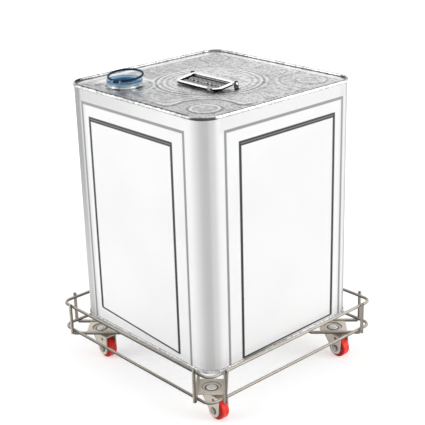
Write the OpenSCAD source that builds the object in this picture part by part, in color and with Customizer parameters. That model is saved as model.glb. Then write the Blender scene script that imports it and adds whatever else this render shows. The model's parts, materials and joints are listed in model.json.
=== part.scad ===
// Square tinplate can on a castored wire trolley.
// Millimetres, +Z up. The origin is on the floor under the middle of the trolley.

/* [Tin] */
// Width of the square tin across its flat sides
tin_w = 238; // [200:1:250]
// Height of the tin over both seams
tin_h = 299; // [220:1:360]
// Radius of the tin's upright corners
tin_corner_r = 23; // [16:1:40]
// Thickness of the tinplate
sheet_t = 0.5; // [0.3:0.1:0.8]
// Thickness of the rolled seams
seam_t = 3; // [2.4:0.2:4]
// Height of the rolled seams
seam_h = 4.4; // [4.2:0.2:6]
// How far the seams stand out of the side wall
seam_out = 1; // [0.4:0.2:1.6]
// Depth of the lid panel below the top of its seam
lid_drop = 3; // [2:0.2:4]
// Depth of the bottom panel inside its seam
bottom_drop = 4; // [3:0.2:4.4]

/* [Lid beads] */
// Radius of the inner ring bead
inner_bead_r = 48; // [44:1:52]
// Radius of the outer ring bead
outer_bead_r = 59; // [56:1:64]
// Distance of each corner boss from the two sides next to it
boss_inset = 36; // [34:1:41]
// Radius of the ring bead of a corner boss
boss_r = 17; // [14:1:19]
// Radius of the arc bead round a corner boss
arc_r = 39; // [34:1:42]
// Width of a bead at its foot
bead_w = 3; // [2:0.2:4]
// Height of a bead
bead_h = 0.6; // [0.4:0.1:1]

/* [Spout and cap] */
// Distance of the spout from the tin's left side
spout_left = 60; // [49:1:65]
// Distance of the spout from the tin's front side
spout_front = 40; // [37:1:49]
// Radius of the mouth inside the neck
mouth_r = 16.8; // [14:0.2:17.2]
// Radius of the neck's rolled lip outside
neck_r = 19.2; // [18.8:0.2:20]
// Height of the neck above the lid
neck_h = 5.6; // [5:0.2:8]
// Radius of the neck's foot
foot_r = 22.5; // [21.5:0.5:24]
// Gap between the cap's skirt and the neck's lip
skirt_gap = 0.3; // [0.2:0.05:0.6]
// Thickness of the cap's flange and walls
cap_t = 1.5; // [1.2:0.1:2]
// Height of the cap's skirt
cap_skirt_h = 3; // [2.4:0.2:3.6]
// Depth of the plug below the cap's flange
plug_h = 10; // [8:0.5:14]
// Depth of the cup in the middle of the cap
cup_depth = 4.5; // [3:0.5:6]
// Gap between the plug and the mouth
plug_gap = 0.3; // [0.3:0.05:0.6]
// Radius of the pull ring to the middle of its wire
pull_r = 20; // [16:0.5:21]
// Thickness of the pull ring
pull_d = 2.6; // [1.8:0.2:2.8]
// Angle at which the pull ring stands off the cap
pull_tilt = 6; // [4:0.5:20]
// Direction of the pull ring's hinge, seen from the cap's middle
pull_dir = -65; // [-180:5:180]
// Radius of the pull ring's hinge pin
ring_pin_r = 0.7; // [0.5:0.05:0.8]

/* [Lid handle] */
// Middle of the handle along X
handle_x = 12; // [-14:1:14]
// Pivot line of the handle along Y
handle_y = -4.5; // [-10:0.5:4]
// Height of the handle's pivot above the lid
pivot_h = 6.8; // [6.6:0.2:12]
// Length of the handle between its end bars
handle_l = 68; // [60:1:76]
// Distance between the handle's two long rolled edges
handle_depth = 28; // [20:0.5:30]
// Thickness of the handle's rolled edges
handle_d = 4.2; // [3.4:0.2:4.4]
// Bend radius at the handle's corners
handle_bend = 6; // [3:0.5:8]
// Thickness of the web between the rolled edges
web_t = 1.2; // [0.8:0.2:1.6]
// Gap between the web and each end bar
web_gap = 2.4; // [1.6:0.2:4]
// Radius of the handle's pivot pins
handle_pin_r = 1.5; // [1.2:0.1:1.8]
// Thickness of the handle's ears
ear_t = 1.2; // [0.8:0.2:2]
// Width of the handle's ears
ear_w = 6; // [5:0.5:10]
// Width of the lift tab on the free edge
tab_w = 6; // [5:0.5:9]

/* [Trolley] */
// Distance from the tin's side to the middle of the ring wire
ring_clear = 18; // [14:1:26]
// Diameter of the ring wire
ring_d = 3.6; // [3:0.1:4]
// Bend radius of the rings to the middle of the wire
ring_bend = 11; // [8:1:16]
// Height of the lower ring above the floor
lower_ring_z = 40; // [40:0.5:44]
// Height of the upper ring above the floor
upper_ring_z = 72.5; // [66:0.5:90]
// Diameter of the uprights
post_d = 4; // [3:0.1:5]
// Distance of the uprights from the corners of the ring
post_inset = 21; // [18:0.5:26]
// How far the uprights reach past the rings
post_over = 4; // [2:0.5:8]
// Diameter of the rest wires
rest_d = 4; // [3.4:0.1:4.6]
// Half the distance between the two rest wires of a pair
rest_half = 16.5; // [15:0.5:19]
// Bend radius of the rest wires
rest_bend = 6; // [5:0.5:7]
// Height of the tin's bottom seam above the floor
tin_z = 59; // [58:0.5:66]
// Distance from a castor plate to the step in the rest wires
step_gap = 12; // [10:1:20]

/* [Castors] */
// Distance of the kingpins inside the sides of the ring
castor_inset = 33; // [30:1:36]
// Length of a castor plate along the diagonal
plate_l = 34; // [33:1:39]
// Thickness of a castor plate
plate_t = 1.5; // [1.2:0.1:2]
// Radius of the dish pressed into a plate
dish_r = 11.5; // [10:0.5:12]
// Depth of the dish pressed into a plate
dish_drop = 1.6; // [1.2:0.1:1.8]
// Radius of the kingpin
kingpin_r = 2.5; // [2:0.1:3.2]
// Radius of the kingpin's heads
rivet_r = 6.2; // [5:0.2:7]
// Diameter of the swivel balls
ball_d = 2.4; // [2:0.1:3]
// Radius of the circle of swivel balls
ball_circle_r = 8.6; // [8:0.1:9.5]
// Number of swivel balls in a castor
ball_count = 12; // [8:1:14]
// Diameter of the wheels
wheel_d = 25; // [22:0.5:26]
// Width of the wheels
wheel_w = 12; // [9:0.5:13]
// Distance of the axle behind the kingpin
trail = 11; // [8:0.5:13]
// Radius of the wheel hub inside the tyre
hub_r = 7.5; // [6:0.5:8.5]
// Radius of the axle bolt
axle_r = 2; // [1.5:0.1:2.5]
// Thickness of the fork's sheet
fork_t = 1.5; // [1.2:0.1:1.8]
// Radius of the fork's crown
crown_r = 12.5; // [11:0.5:14]
// Gap between the wheel and each fork leg
wheel_gap = 0.6; // [0.4:0.1:1]
// Width of a fork leg's end beyond the axle bolt
leg_rim = 6; // [3:0.5:7]

/* [Hidden] */
$fn = 48;

// Corners of the trolley as signs along X and Y
front_right = [1, -1];
back_right = [1, 1];
back_left = [-1, 1];
front_left = [-1, -1];

// Fits
run_gap = 0.05;     // radial play of a pin in its bore
face_gap = 0.1;     // play between faces that slide past each other
weld_sink = 0.3;    // how far welded wires and sheets sink into each other
bend_swell = 0.1;   // how much thicker a bent wire is in its bends
bend_lap = 0.6;     // how far a straight wire runs on inside its bends
part_gap = 0.5;     // free space between neighbours that never touch
hinge_side_gap = 0.3;

// Tin heights
tin_top = tin_z + tin_h;
lid_top = tin_top - lid_drop;
floor_low = tin_z + bottom_drop;
seam_in = seam_t - seam_out;
panel_w = tin_w - 2 * seam_in;
panel_corner_r = tin_corner_r - seam_in;

// Places on the lid
boss_offset = tin_w / 2 - boss_inset;
spout_x = spout_left - tin_w / 2;
spout_y = spout_front - tin_w / 2;

// Trolley heights and lengths
ring_half = tin_w / 2 + ring_clear;
post_offset = ring_half - post_inset;
castor_offset = ring_half - castor_inset;
post_line = ring_half + ring_d / 2 + post_d / 2 - weld_sink;
rest_low_z = lower_ring_z - ring_d / 2 - rest_d / 2 + weld_sink;
rest_high_z = floor_low - rest_d / 2 - face_gap;
cross_drop = rest_d - weld_sink;
kingpin_reach = castor_offset * sqrt(2);
rest_end = ring_half * sqrt(2) - rest_half + rest_d / 2;
step_foot = kingpin_reach - plate_l / 2 - step_gap;
step_head = step_foot - (rest_high_z - rest_low_z);
cross_head = rest_half + rest_bend + rest_d;
cross_foot = cross_head - cross_drop;

// Castor heights, from the plate down to the wheel
plate_top = rest_low_z + face_gap;
plate_low = plate_top - plate_t;
plate_half = rest_half - rest_d / 2 + weld_sink;
dish_top = plate_top - dish_drop;
dish_low = dish_top - plate_t;
crown_top = dish_low - ball_d - 2 * run_gap;
crown_low = crown_top - fork_t;
axle_z = wheel_d / 2;
leg_in = wheel_w / 2 + wheel_gap;
leg_out = leg_in + fork_t;
leg_r = axle_r + leg_rim;
leg_hole_r = 1.1;
leg_lap = 0.05;
rivet_h = 1.8;
bolt_head_r = axle_r + 1.6;
bolt_head_h = 1.6;
nut_h = 2;

// Spout and cap heights
neck_top = lid_top + neck_h;
lip_r = (neck_r - mouth_r) / 2;
lip_line = mouth_r + lip_r;
cap_r = neck_r + skirt_gap + cap_t;
cap_low = neck_top + face_gap;
cap_top = cap_low + cap_t;
plug_r = mouth_r - plug_gap;
cup_r = plug_r - cap_t;
rim_h = 0.8;
ring_axis_r = cap_r - ring_pin_r - 0.5;
ring_axis_z = cap_top + rim_h + pull_d / 2 + face_gap;
barrel_l = 7;
lug_t = 1.6;
lug_r = ring_pin_r + 0.9;
ring_neck = lug_r + hinge_side_gap + pull_d / 2;

// Handle
pivot_z = lid_top + pivot_h;
free_edge_h = handle_d / 2 + sheet_t + bead_h + face_gap;
handle_tilt = asin((pivot_h - free_edge_h) / handle_depth);
ear_x = handle_l / 2 + handle_d / 2 + hinge_side_gap;
ear_r = ear_w / 2;
groove_count = 9;
groove_l = 4;
groove_w = 1.6;
groove_depth = web_t / 2;

// Direction from a to b
function heading(a, b) = (b - a) / norm(b - a);
// Signed bend of the path p-q-r at q
function bend_angle(p, q, r) = let (a = heading(p, q), b = heading(q, r)) atan2(cross(a, b), a * b);
// Length that a bend takes off each of its two legs
function bend_cut(path, i, bend_r) =
  i == 0 || i == len(path) - 1 ? 0 : bend_r * tan(abs(bend_angle(path[i - 1], path[i], path[i + 1])) / 2);
// Where the line from p touches the circle of radius r round c, on its left (side 1) or right (side -1)
function touch_point(p, c, r, side) =
  let (v = p - c, a = atan2(v[1], v[0]) + side * acos(r / norm(v))) c + r * [cos(a), sin(a)];

// A wire along a flat path in X and Y, with every corner bent to the same radius. A bend is a hair
// thicker than the straight wire and takes in the ends of both straights.
module bent_wire(path, wire_d, bend_r) {
  last = len(path) - 1;
  for (i = [0 : last - 1]) {
    way = heading(path[i], path[i + 1]);
    start = path[i] + way * (bend_cut(path, i, bend_r) - (i == 0 ? 0 : bend_lap));
    end = path[i + 1] - way * (bend_cut(path, i + 1, bend_r) - (i == last - 1 ? 0 : bend_lap));
    translate([start[0], start[1], 0]) rotate(atan2(way[1], way[0])) rotate([0, 90, 0])
      cylinder(h = norm(end - start), d = wire_d);
  }
  for (i = [1 : last - 1]) {
    way = heading(path[i - 1], path[i]);
    turn = bend_angle(path[i - 1], path[i], path[i + 1]);
    side = sign(turn);
    inward = side * [-way[1], way[0]];
    centre = path[i] - way * bend_cut(path, i, bend_r) + inward * bend_r;
    first = atan2(-inward[1], -inward[0]);
    translate([centre[0], centre[1], 0]) rotate(side > 0 ? first : first + turn)
      rotate_extrude(angle = abs(turn)) translate([bend_r, 0]) circle(d = wire_d + bend_swell);
  }
}

// Carries a section round a rectangle with round corners. The section's x is the distance
// from the middle of a corner's arc, and its y is the height.
module round_frame(size_x, size_y, corner_r) {
  for (c = [[1, 1, 0], [-1, 1, 90], [-1, -1, 180], [1, -1, 270]])
    translate([c[0] * (size_x / 2 - corner_r), c[1] * (size_y / 2 - corner_r), 0])
      rotate(c[2]) rotate_extrude(angle = 90) children();
  for (s = [[0, size_x, size_y], [90, size_y, size_x], [180, size_x, size_y], [270, size_y, size_x]])
    rotate(s[0]) translate([s[1] / 2 - corner_r, 0, 0]) rotate([90, 0, 0])
      linear_extrude(s[2] - 2 * corner_r, center = true) children();
}

// A plate with round upright corners, standing on z = 0
module round_plate(size, corner_r, height) {
  inner = size - 2 * corner_r;
  translate([-size / 2, -inner / 2, 0]) cube([size, inner, height]);
  translate([-inner / 2, -size / 2, 0]) cube([inner, size, height]);
  for (x = [-1, 1], y = [-1, 1])
    translate([x * inner / 2, y * inner / 2, 0]) cylinder(h = height, r = corner_r);
}

// A ring bead, or an arc of one, standing on z = 0
module bead(radius, angle = 360) {
  rotate_extrude(angle = angle) translate([radius, 0])
    polygon([[-bead_w / 2, 0], [bead_w / 2, 0], [bead_w / 5, bead_h], [-bead_w / 5, bead_h]]);
}

// Moves a castor's pieces to a corner. The wheel trails towards +X at every corner.
module at_kingpin(corner) translate([corner[0] * castor_offset, corner[1] * castor_offset, 0]) children();
// The same, with X along the corner's diagonal
module along_diagonal(corner) at_kingpin(corner) rotate(atan2(corner[1], corner[0])) children();
module at_axle(corner) at_kingpin(corner) translate([trail, 0, axle_z]) rotate([90, 0, 0]) children();

// ---- Trolley ----

module ring(height) {
  color("#b9b0a2") translate([0, 0, height])
    round_frame(2 * ring_half, 2 * ring_half, ring_bend) translate([ring_bend, 0]) circle(d = ring_d);
}

module upper_ring() ring(upper_ring_z);
module lower_ring() ring(lower_ring_z);

module uprights() {
  color("#b9b0a2") for (side = [0, 90, 180, 270], along = [-1, 1])
    rotate(side) translate([along * post_offset, -post_line, lower_ring_z - post_over])
      cylinder(h = upper_ring_z - lower_ring_z + 2 * post_over, d = post_d);
}

// One pair of diagonal wires, from a path of distance along the diagonal and height
module rest_pair(turn, path) {
  color("#b9b0a2") for (side = [-1, 1])
    rotate(turn) translate([0, side * rest_half, 0]) rotate([90, 0, 0]) bent_wire(path, rest_d, rest_bend);
}

// The pair from front right to back left carries the tin along its whole raised middle
module rest_wires_upper() {
  rest_pair(-45, [
    [-rest_end, rest_low_z], [-step_foot, rest_low_z], [-step_head, rest_high_z],
    [step_head, rest_high_z], [step_foot, rest_low_z], [rest_end, rest_low_z]
  ]);
}

// The pair from front left to back right dips under the other pair where they cross
module rest_wires_lower() {
  rest_pair(45, [
    [-rest_end, rest_low_z], [-step_foot, rest_low_z], [-step_head, rest_high_z],
    [-cross_head, rest_high_z], [-cross_foot, rest_high_z - cross_drop],
    [cross_foot, rest_high_z - cross_drop], [cross_head, rest_high_z],
    [step_head, rest_high_z], [step_foot, rest_low_z], [rest_end, rest_low_z]
  ]);
}

// ---- Castors ----

module plate(corner) {
  color("#a89f92") along_diagonal(corner) {
    difference() {
      translate([-plate_l / 2, -plate_half, plate_low]) cube([plate_l, 2 * plate_half, plate_t]);
      translate([0, 0, plate_low - 1]) cylinder(h = plate_t + 2, r = dish_r);
    }
    difference() {
      translate([0, 0, dish_low]) cylinder(h = plate_top - dish_low, r = dish_r);
      translate([0, 0, dish_top])
        cylinder(h = dish_drop + 1, r1 = dish_r - plate_t, r2 = dish_r - plate_t + (dish_drop + 1) / 2);
      translate([0, 0, dish_low - 1]) cylinder(h = plate_t + 2, r = kingpin_r);
    }
  }
}

module kingpin(corner) {
  color("#d8d2c8") at_kingpin(corner) rotate_extrude() polygon([
    [0, crown_low - face_gap - rivet_h], [rivet_r - rivet_h, crown_low - face_gap - rivet_h],
    [rivet_r - 1, crown_low - face_gap], [kingpin_r, crown_low - face_gap],
    [kingpin_r, dish_top], [rivet_r, dish_top], [rivet_r, dish_top + rivet_h / 3],
    [rivet_r - rivet_h * 0.4, dish_top + rivet_h * 0.8], [rivet_r / 2, dish_top + rivet_h],
    [0, dish_top + rivet_h]
  ]);
}

module balls(corner) {
  color("silver") at_kingpin(corner) for (i = [0 : ball_count - 1])
    rotate(i * 360 / ball_count) translate([ball_circle_r, 0, (crown_top + dish_low) / 2]) sphere(d = ball_d);
}

// Outline of a fork leg, seen from the side: X along the trail, Y up
module leg_outline() {
  axle = [trail, axle_z];
  back_top = [part_gap - sqrt(pow(crown_r, 2) - pow(leg_out, 2)), crown_low];
  front_top = [trail + fork_t, crown_low];
  polygon([
    back_top + [0, fork_t / 2], back_top, touch_point(back_top, axle, leg_r - leg_lap, 1), axle,
    touch_point(front_top, axle, leg_r - leg_lap, -1), front_top, front_top + [0, fork_t / 2]
  ]);
  translate(axle) circle(r = leg_r);
}

module fork(corner) {
  color("#aaa296") at_kingpin(corner) difference() {
    union() {
      translate([0, 0, crown_low]) cylinder(h = fork_t, r = crown_r);
      translate([0, -leg_out, crown_low]) cube([trail + fork_t, 2 * leg_out, fork_t]);
      for (side = [-1, 1])
        translate([0, side * (leg_in + fork_t / 2), 0]) rotate([90, 0, 0])
          linear_extrude(fork_t, center = true) leg_outline();
    }
    translate([0, 0, crown_low - 1]) cylinder(h = fork_t + 2, r = kingpin_r + run_gap);
    translate([trail, 0, axle_z]) rotate([90, 0, 0]) cylinder(h = 2 * leg_out + 2, r = axle_r, center = true);
    translate([trail, 0, crown_low - 3 * leg_hole_r]) rotate([90, 0, 0])
      cylinder(h = 2 * leg_out + 2, r = leg_hole_r, center = true);
  }
}

module bolt(corner) {
  color("#c8c2b8") at_axle(corner) {
    cylinder(h = 2 * (leg_out + nut_h) + 1, r = axle_r, center = true);
    translate([0, 0, -leg_out - bolt_head_h]) cylinder(h = bolt_head_h, r = bolt_head_r);
  }
}

module nut(corner) {
  color("#8f8a82") at_axle(corner) translate([0, 0, leg_out]) difference() {
    cylinder(h = nut_h, r = bolt_head_r, $fn = 6);
    translate([0, 0, -1]) cylinder(h = nut_h + 2, r = axle_r);
  }
}

module hub(corner) {
  color("#d9d4c8") at_axle(corner) difference() {
    union() {
      cylinder(h = wheel_w, r = hub_r, center = true);
      cylinder(h = wheel_w + wheel_gap, r = axle_r + 1.4, center = true);
    }
    cylinder(h = wheel_w + 2, r = axle_r + run_gap, center = true);
    for (side = [-1, 1]) translate([0, 0, side * wheel_w / 2]) rotate_extrude()
      translate([axle_r + 2, -1]) square([hub_r - axle_r - 3.2, 2]);
  }
}

module tyre(corner) {
  tread_r = min(wheel_w / 4, (wheel_d / 2 - hub_r) / 2 - leg_lap);
  color("#e8463a") at_axle(corner) rotate_extrude() difference() {
    union() {
      translate([hub_r, -wheel_w / 2]) square([wheel_d / 2 - tread_r - hub_r, wheel_w]);
      translate([hub_r, -wheel_w / 2 + tread_r]) square([wheel_d / 2 - hub_r, wheel_w - 2 * tread_r]);
      for (side = [-1, 1])
        translate([wheel_d / 2 - tread_r, side * (wheel_w / 2 - tread_r)]) circle(r = tread_r);
    }
    for (side = [-1, 1])
      translate([hub_r, side * (wheel_w / 2 + 0.4) - 0.8]) square([1.4, 1.6]);
  }
}

// ---- Tin ----

module tin_body() {
  color("#f4f4f4") translate([0, 0, tin_z + seam_h])
    round_frame(tin_w, tin_w, tin_corner_r)
      translate([tin_corner_r - sheet_t, 0]) square([sheet_t, tin_h - 2 * seam_h]);
}

// The locked seam that closes the side wall, at the back of the left side
module side_seam() {
  seam_w = 6;
  color("#dedede")
    translate([-tin_w / 2 - sheet_t, tin_w / 2 - tin_corner_r - 2 * seam_w, tin_z + seam_h])
      cube([sheet_t, seam_w, tin_h - 2 * seam_h]);
}

// Section of a seam: a strip with one edge rolled round, the rolled edge up
module seam_section() {
  middle = tin_corner_r + seam_out - seam_t / 2;
  translate([middle - seam_t / 2, 0]) square([seam_t, seam_h - seam_t / 2]);
  translate([middle, seam_h - seam_t / 2]) circle(d = seam_t);
}

module top_seam() {
  color("#e2e2e2") translate([0, 0, tin_top - seam_h]) round_frame(tin_w, tin_w, tin_corner_r) seam_section();
}

module bottom_seam() {
  color("#d8d8d8") translate([0, 0, tin_z + seam_h]) mirror([0, 0, 1])
    round_frame(tin_w, tin_w, tin_corner_r) seam_section();
}

module lid_panel() {
  color("#c9c9c9") difference() {
    translate([0, 0, lid_top]) {
      translate([0, 0, -sheet_t]) round_plate(panel_w, panel_corner_r, sheet_t);
      bead(inner_bead_r);
      bead(outer_bead_r);
      for (corner = [front_right, back_right, back_left])
        translate([corner[0] * boss_offset, corner[1] * boss_offset, 0]) {
          bead(boss_r);
          rotate(atan2(corner[1], corner[0]) + 105) bead(arc_r, 150);
        }
    }
    translate([spout_x, spout_y, lid_top - sheet_t - 1]) cylinder(h = sheet_t + bead_h + 2, r = mouth_r);
    translate([spout_x, spout_y, lid_top]) cylinder(h = bead_h + 1, r = foot_r + part_gap);
    for (side = [-1, 1])
      translate([handle_x + side * (ear_x + ear_t + ear_w / 2), handle_y, lid_top])
        cylinder(h = bead_h + 1, r = ear_w);
  }
}

module bottom_panel() {
  color("#d0d0d0") translate([0, 0, floor_low]) {
    round_plate(panel_w, panel_corner_r, sheet_t);
    translate([0, 0, sheet_t]) bead(outer_bead_r);
  }
}

module spout_neck() {
  color("#cfcac6") translate([spout_x, spout_y, lid_top]) rotate_extrude() {
    translate([mouth_r, 0]) square([foot_r - mouth_r, sheet_t]);
    translate([mouth_r, 0]) square([lip_line - mouth_r, neck_h - lip_r]);
    translate([lip_line, neck_h - lip_r]) circle(r = lip_r);
    translate([mouth_r, neck_h - 2 * lip_r]) square([lip_line - mouth_r, 2 * lip_r]);
  }
}

module handle_ears() {
  color("#c4c4c4") for (side = [-1, 1])
    translate([handle_x, handle_y, 0]) mirror([side < 0 ? 1 : 0, 0, 0]) translate([ear_x, 0, 0]) {
      difference() {
        union() {
          translate([0, -ear_r, lid_top]) cube([ear_t, ear_w, pivot_h]);
          translate([0, 0, pivot_z]) rotate([0, 90, 0]) cylinder(h = ear_t, r = ear_r);
        }
        translate([-1, 0, pivot_z]) rotate([0, 90, 0]) cylinder(h = ear_t + 2, r = handle_pin_r + run_gap);
      }
      translate([0, -ear_r, lid_top]) cube([ear_w, ear_w, ear_t]);
    }
}

// Puts the handle's own frame at its pivot, lying towards -Y
module at_pivot() translate([handle_x, handle_y, pivot_z]) rotate([handle_tilt, 0, 0]) children();

module handle_strap() {
  pin_end = ear_x + ear_t + handle_pin_r;
  web_l = handle_l - handle_d - 2 * web_gap;
  pitch = web_l / groove_count;
  color("#dcdcdc") at_pivot() {
    translate([0, -handle_depth / 2, 0])
      round_frame(handle_l, handle_depth, handle_bend) translate([handle_bend, 0]) circle(d = handle_d);
    rotate([0, 90, 0]) cylinder(h = 2 * pin_end, r = handle_pin_r, center = true);
    difference() {
      translate([-web_l / 2, -handle_depth, -web_t / 2]) cube([web_l, handle_depth, web_t]);
      for (i = [0 : groove_count - 1], row = [1, 2])
        translate([(i + 0.5) * pitch - web_l / 2, -row * handle_depth / 3, web_t - groove_depth])
          cube([groove_l, groove_w, web_t], center = true);
    }
  }
}

// A strip of sheet curled round the free edge, to get a fingernail under
module lift_tab() {
  tab_reach = handle_d / 2 + 3;
  color("#b0b0b0") at_pivot() translate([handle_l / 2 - handle_bend - tab_w, -handle_depth, 0]) {
    rotate([0, 90, 0]) difference() {
      cylinder(h = tab_w, r = handle_d / 2 + sheet_t);
      translate([0, 0, -1]) cylinder(h = tab_w + 2, r = handle_d / 2);
      translate([-web_t / 2, 0, -1]) cube([handle_d, handle_d, tab_w + 2]);
    }
    translate([0, -tab_reach, handle_d / 2]) cube([tab_w, tab_reach, sheet_t]);
  }
}

// Puts the pull ring's own frame at its hinge: X along the pin, Y away from the cap's rim
module at_ring_hinge() {
  translate([spout_x, spout_y, 0]) rotate(pull_dir + 90) translate([0, -ring_axis_r, ring_axis_z]) children();
}

module cap() {
  lug_x = barrel_l / 2 + hinge_side_gap;
  color("#2f86c8") {
    translate([spout_x, spout_y, 0]) rotate_extrude() {
      translate([cup_r, cap_low]) square([cap_r - cup_r, cap_t]);
      translate([cap_r - cap_t, cap_top - cap_skirt_h]) square([cap_t, cap_skirt_h + rim_h]);
      translate([cup_r, cap_top - plug_h]) square([cap_t, plug_h]);
      translate([0, cap_top - cup_depth - cap_t]) square([cup_r + cap_t / 2, cap_t]);
    }
    at_ring_hinge() for (side = [-1, 1]) translate([side * (lug_x + lug_t / 2), 0, 0]) difference() {
      union() {
        rotate([0, 90, 0]) cylinder(h = lug_t, r = lug_r, center = true);
        translate([-lug_t / 2, -lug_r, cap_top - ring_axis_z]) cube([lug_t, 2 * lug_r, ring_axis_z - cap_top]);
      }
      rotate([0, 90, 0]) cylinder(h = lug_t + 2, r = ring_pin_r, center = true);
    }
  }
}

module ring_pin() {
  color("#1c4f86") at_ring_hinge() rotate([0, 90, 0])
    cylinder(h = barrel_l + 2 * (hinge_side_gap + lug_t), r = ring_pin_r, center = true);
}

module pull_ring() {
  color("#0d2b4a") at_ring_hinge() rotate([pull_tilt, 0, 0]) difference() {
    union() {
      translate([0, ring_neck + pull_r, 0]) rotate_extrude() translate([pull_r, 0]) circle(d = pull_d);
      translate([-barrel_l / 2, 0, -pull_d / 3]) cube([barrel_l, ring_neck, 2 * pull_d / 3]);
      rotate([0, 90, 0]) cylinder(h = barrel_l, d = pull_d, center = true);
    }
    rotate([0, 90, 0]) cylinder(h = barrel_l + 2, r = ring_pin_r + run_gap, center = true);
  }
}

upper_ring();
lower_ring();
uprights();
rest_wires_upper();
rest_wires_lower();
plate(front_right);  // plate_front_right
plate(back_right);  // plate_back_right
plate(back_left);  // plate_back_left
plate(front_left);  // plate_front_left
kingpin(front_right);  // kingpin_front_right
kingpin(back_right);  // kingpin_back_right
kingpin(back_left);  // kingpin_back_left
kingpin(front_left);  // kingpin_front_left
balls(front_right);  // balls_front_right
balls(back_right);  // balls_back_right
balls(back_left);  // balls_back_left
balls(front_left);  // balls_front_left
fork(front_right);  // fork_front_right
fork(back_right);  // fork_back_right
fork(back_left);  // fork_back_left
fork(front_left);  // fork_front_left
bolt(front_right);  // bolt_front_right
bolt(back_right);  // bolt_back_right
bolt(back_left);  // bolt_back_left
bolt(front_left);  // bolt_front_left
nut(front_right);  // nut_front_right
nut(back_right);  // nut_back_right
nut(back_left);  // nut_back_left
nut(front_left);  // nut_front_left
hub(front_right);  // hub_front_right
hub(back_right);  // hub_back_right
hub(back_left);  // hub_back_left
hub(front_left);  // hub_front_left
tyre(front_right);  // tyre_front_right
tyre(back_right);  // tyre_back_right
tyre(back_left);  // tyre_back_left
tyre(front_left);  // tyre_front_left
tin_body();
side_seam();
top_seam();
bottom_seam();
lid_panel();
bottom_panel();
spout_neck();
handle_ears();
handle_strap();
lift_tab();
cap();
ring_pin();
pull_ring();
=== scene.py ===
"""Looks of a square tinplate can that stands in a wire trolley on four swivel castors.

Sizes are in millimetres in the classes and become metres when a mesh is made. Every piece lies
where its construction solid lies, and rides on the body that carries it.
"""

import json
import logging
import math
from collections.abc import Callable
from dataclasses import dataclass
from enum import Enum

import bmesh
import bpy
import numpy as np
from mathutils import Matrix, Vector

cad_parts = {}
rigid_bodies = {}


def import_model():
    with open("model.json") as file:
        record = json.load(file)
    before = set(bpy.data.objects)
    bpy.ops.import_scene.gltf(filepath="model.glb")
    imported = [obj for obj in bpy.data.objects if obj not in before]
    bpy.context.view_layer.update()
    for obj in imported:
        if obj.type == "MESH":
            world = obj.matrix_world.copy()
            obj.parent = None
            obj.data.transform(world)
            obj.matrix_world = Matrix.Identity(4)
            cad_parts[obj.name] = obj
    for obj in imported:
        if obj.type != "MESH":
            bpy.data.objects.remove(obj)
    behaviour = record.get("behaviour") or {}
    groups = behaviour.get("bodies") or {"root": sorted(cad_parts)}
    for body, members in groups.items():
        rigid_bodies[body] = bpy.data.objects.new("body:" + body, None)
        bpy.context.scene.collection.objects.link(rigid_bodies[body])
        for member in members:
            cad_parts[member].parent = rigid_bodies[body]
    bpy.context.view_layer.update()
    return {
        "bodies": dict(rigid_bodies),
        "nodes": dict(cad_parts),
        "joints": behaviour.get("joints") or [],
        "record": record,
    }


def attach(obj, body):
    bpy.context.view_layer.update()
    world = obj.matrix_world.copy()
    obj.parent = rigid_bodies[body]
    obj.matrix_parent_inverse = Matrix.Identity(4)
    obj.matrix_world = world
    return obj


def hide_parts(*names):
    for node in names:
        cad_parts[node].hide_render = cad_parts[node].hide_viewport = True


Array = np.ndarray
Numbers = float | Array
Pair = tuple[float, float]
Triple = tuple[float, float, float]
Colour = tuple[float, float, float, float]
Lines = tuple[Triple, ...]  # the height, place and width of each

MM = 0.001
TAU = 2.0 * math.pi
UP = np.array([0.0, 0.0, 1.0])
# The mark layer carries painted shade above 0 and painted highlight below 0, set towards the front right;
# the bottom seam's printed foot line rides on it too.
MARK_LAYER = "crease"  # the mesh's marks: dark above 0 and bright below 0
SHOWN_WAY = (0.743, -0.669)  # level direction towards the front right, which the marks are set to
TIN_HALF = 119.0
TIN_CORNER = 23.0
LOG = logging.getLogger("tin_on_trolley")


class Slot(Enum):
    """Material slots of the record, one for each finish."""

    WHITE_TINPLATE = "white_tinplate"
    BRIGHT_TINPLATE = "bright_tinplate"
    HANDLE_STEEL = "handle_steel"
    TROLLEY_WIRE = "trolley_wire"
    CASTOR_STEEL = "castor_steel"
    BALL_STEEL = "ball_steel"
    BOLT_STEEL = "bolt_steel"
    HUB_PLASTIC = "hub_plastic"
    RED_TYRE = "red_tyre"
    BLUE_PLASTIC = "blue_plastic"
    DARK_BLUE_PLASTIC = "dark_blue_plastic"


class Body(Enum):
    """Bodies that pieces ride on, apart from the castors' bodies."""

    TROLLEY = "trolley"
    TIN = "tin"
    HANDLE = "handle"
    SPOUT_CAP = "spout_cap"
    RING = "ring"


class Corner(Enum):
    """Corners of the trolley, as signs along X and Y."""

    FRONT_RIGHT = (1, -1)
    BACK_RIGHT = (1, 1)
    BACK_LEFT = (-1, 1)
    FRONT_LEFT = (-1, -1)

    @property
    def label(self) -> str:
        """The corner's name as the record's nodes use it."""
        return self.name.lower()


# ------------------------ shader expressions


def math_node(operation: str, flip: bool = False) -> Callable[..., "Value"]:
    """Makes an operator that adds one Math node.

    Args:
        operation: The node's operation.
        flip: Whether the operands change places, as a reflected operator's do.

    Returns:
        The operator, as a method of Value.
    """

    def operator(first: "Value", second: "Value | float" = 0.0) -> "Value":
        """The node's result for the two operands."""
        pair = (second, first) if flip else (first, second)
        return first.graph.node("ShaderNodeMath", {"operation": operation}, dict(enumerate(pair)))

    return operator


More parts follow.
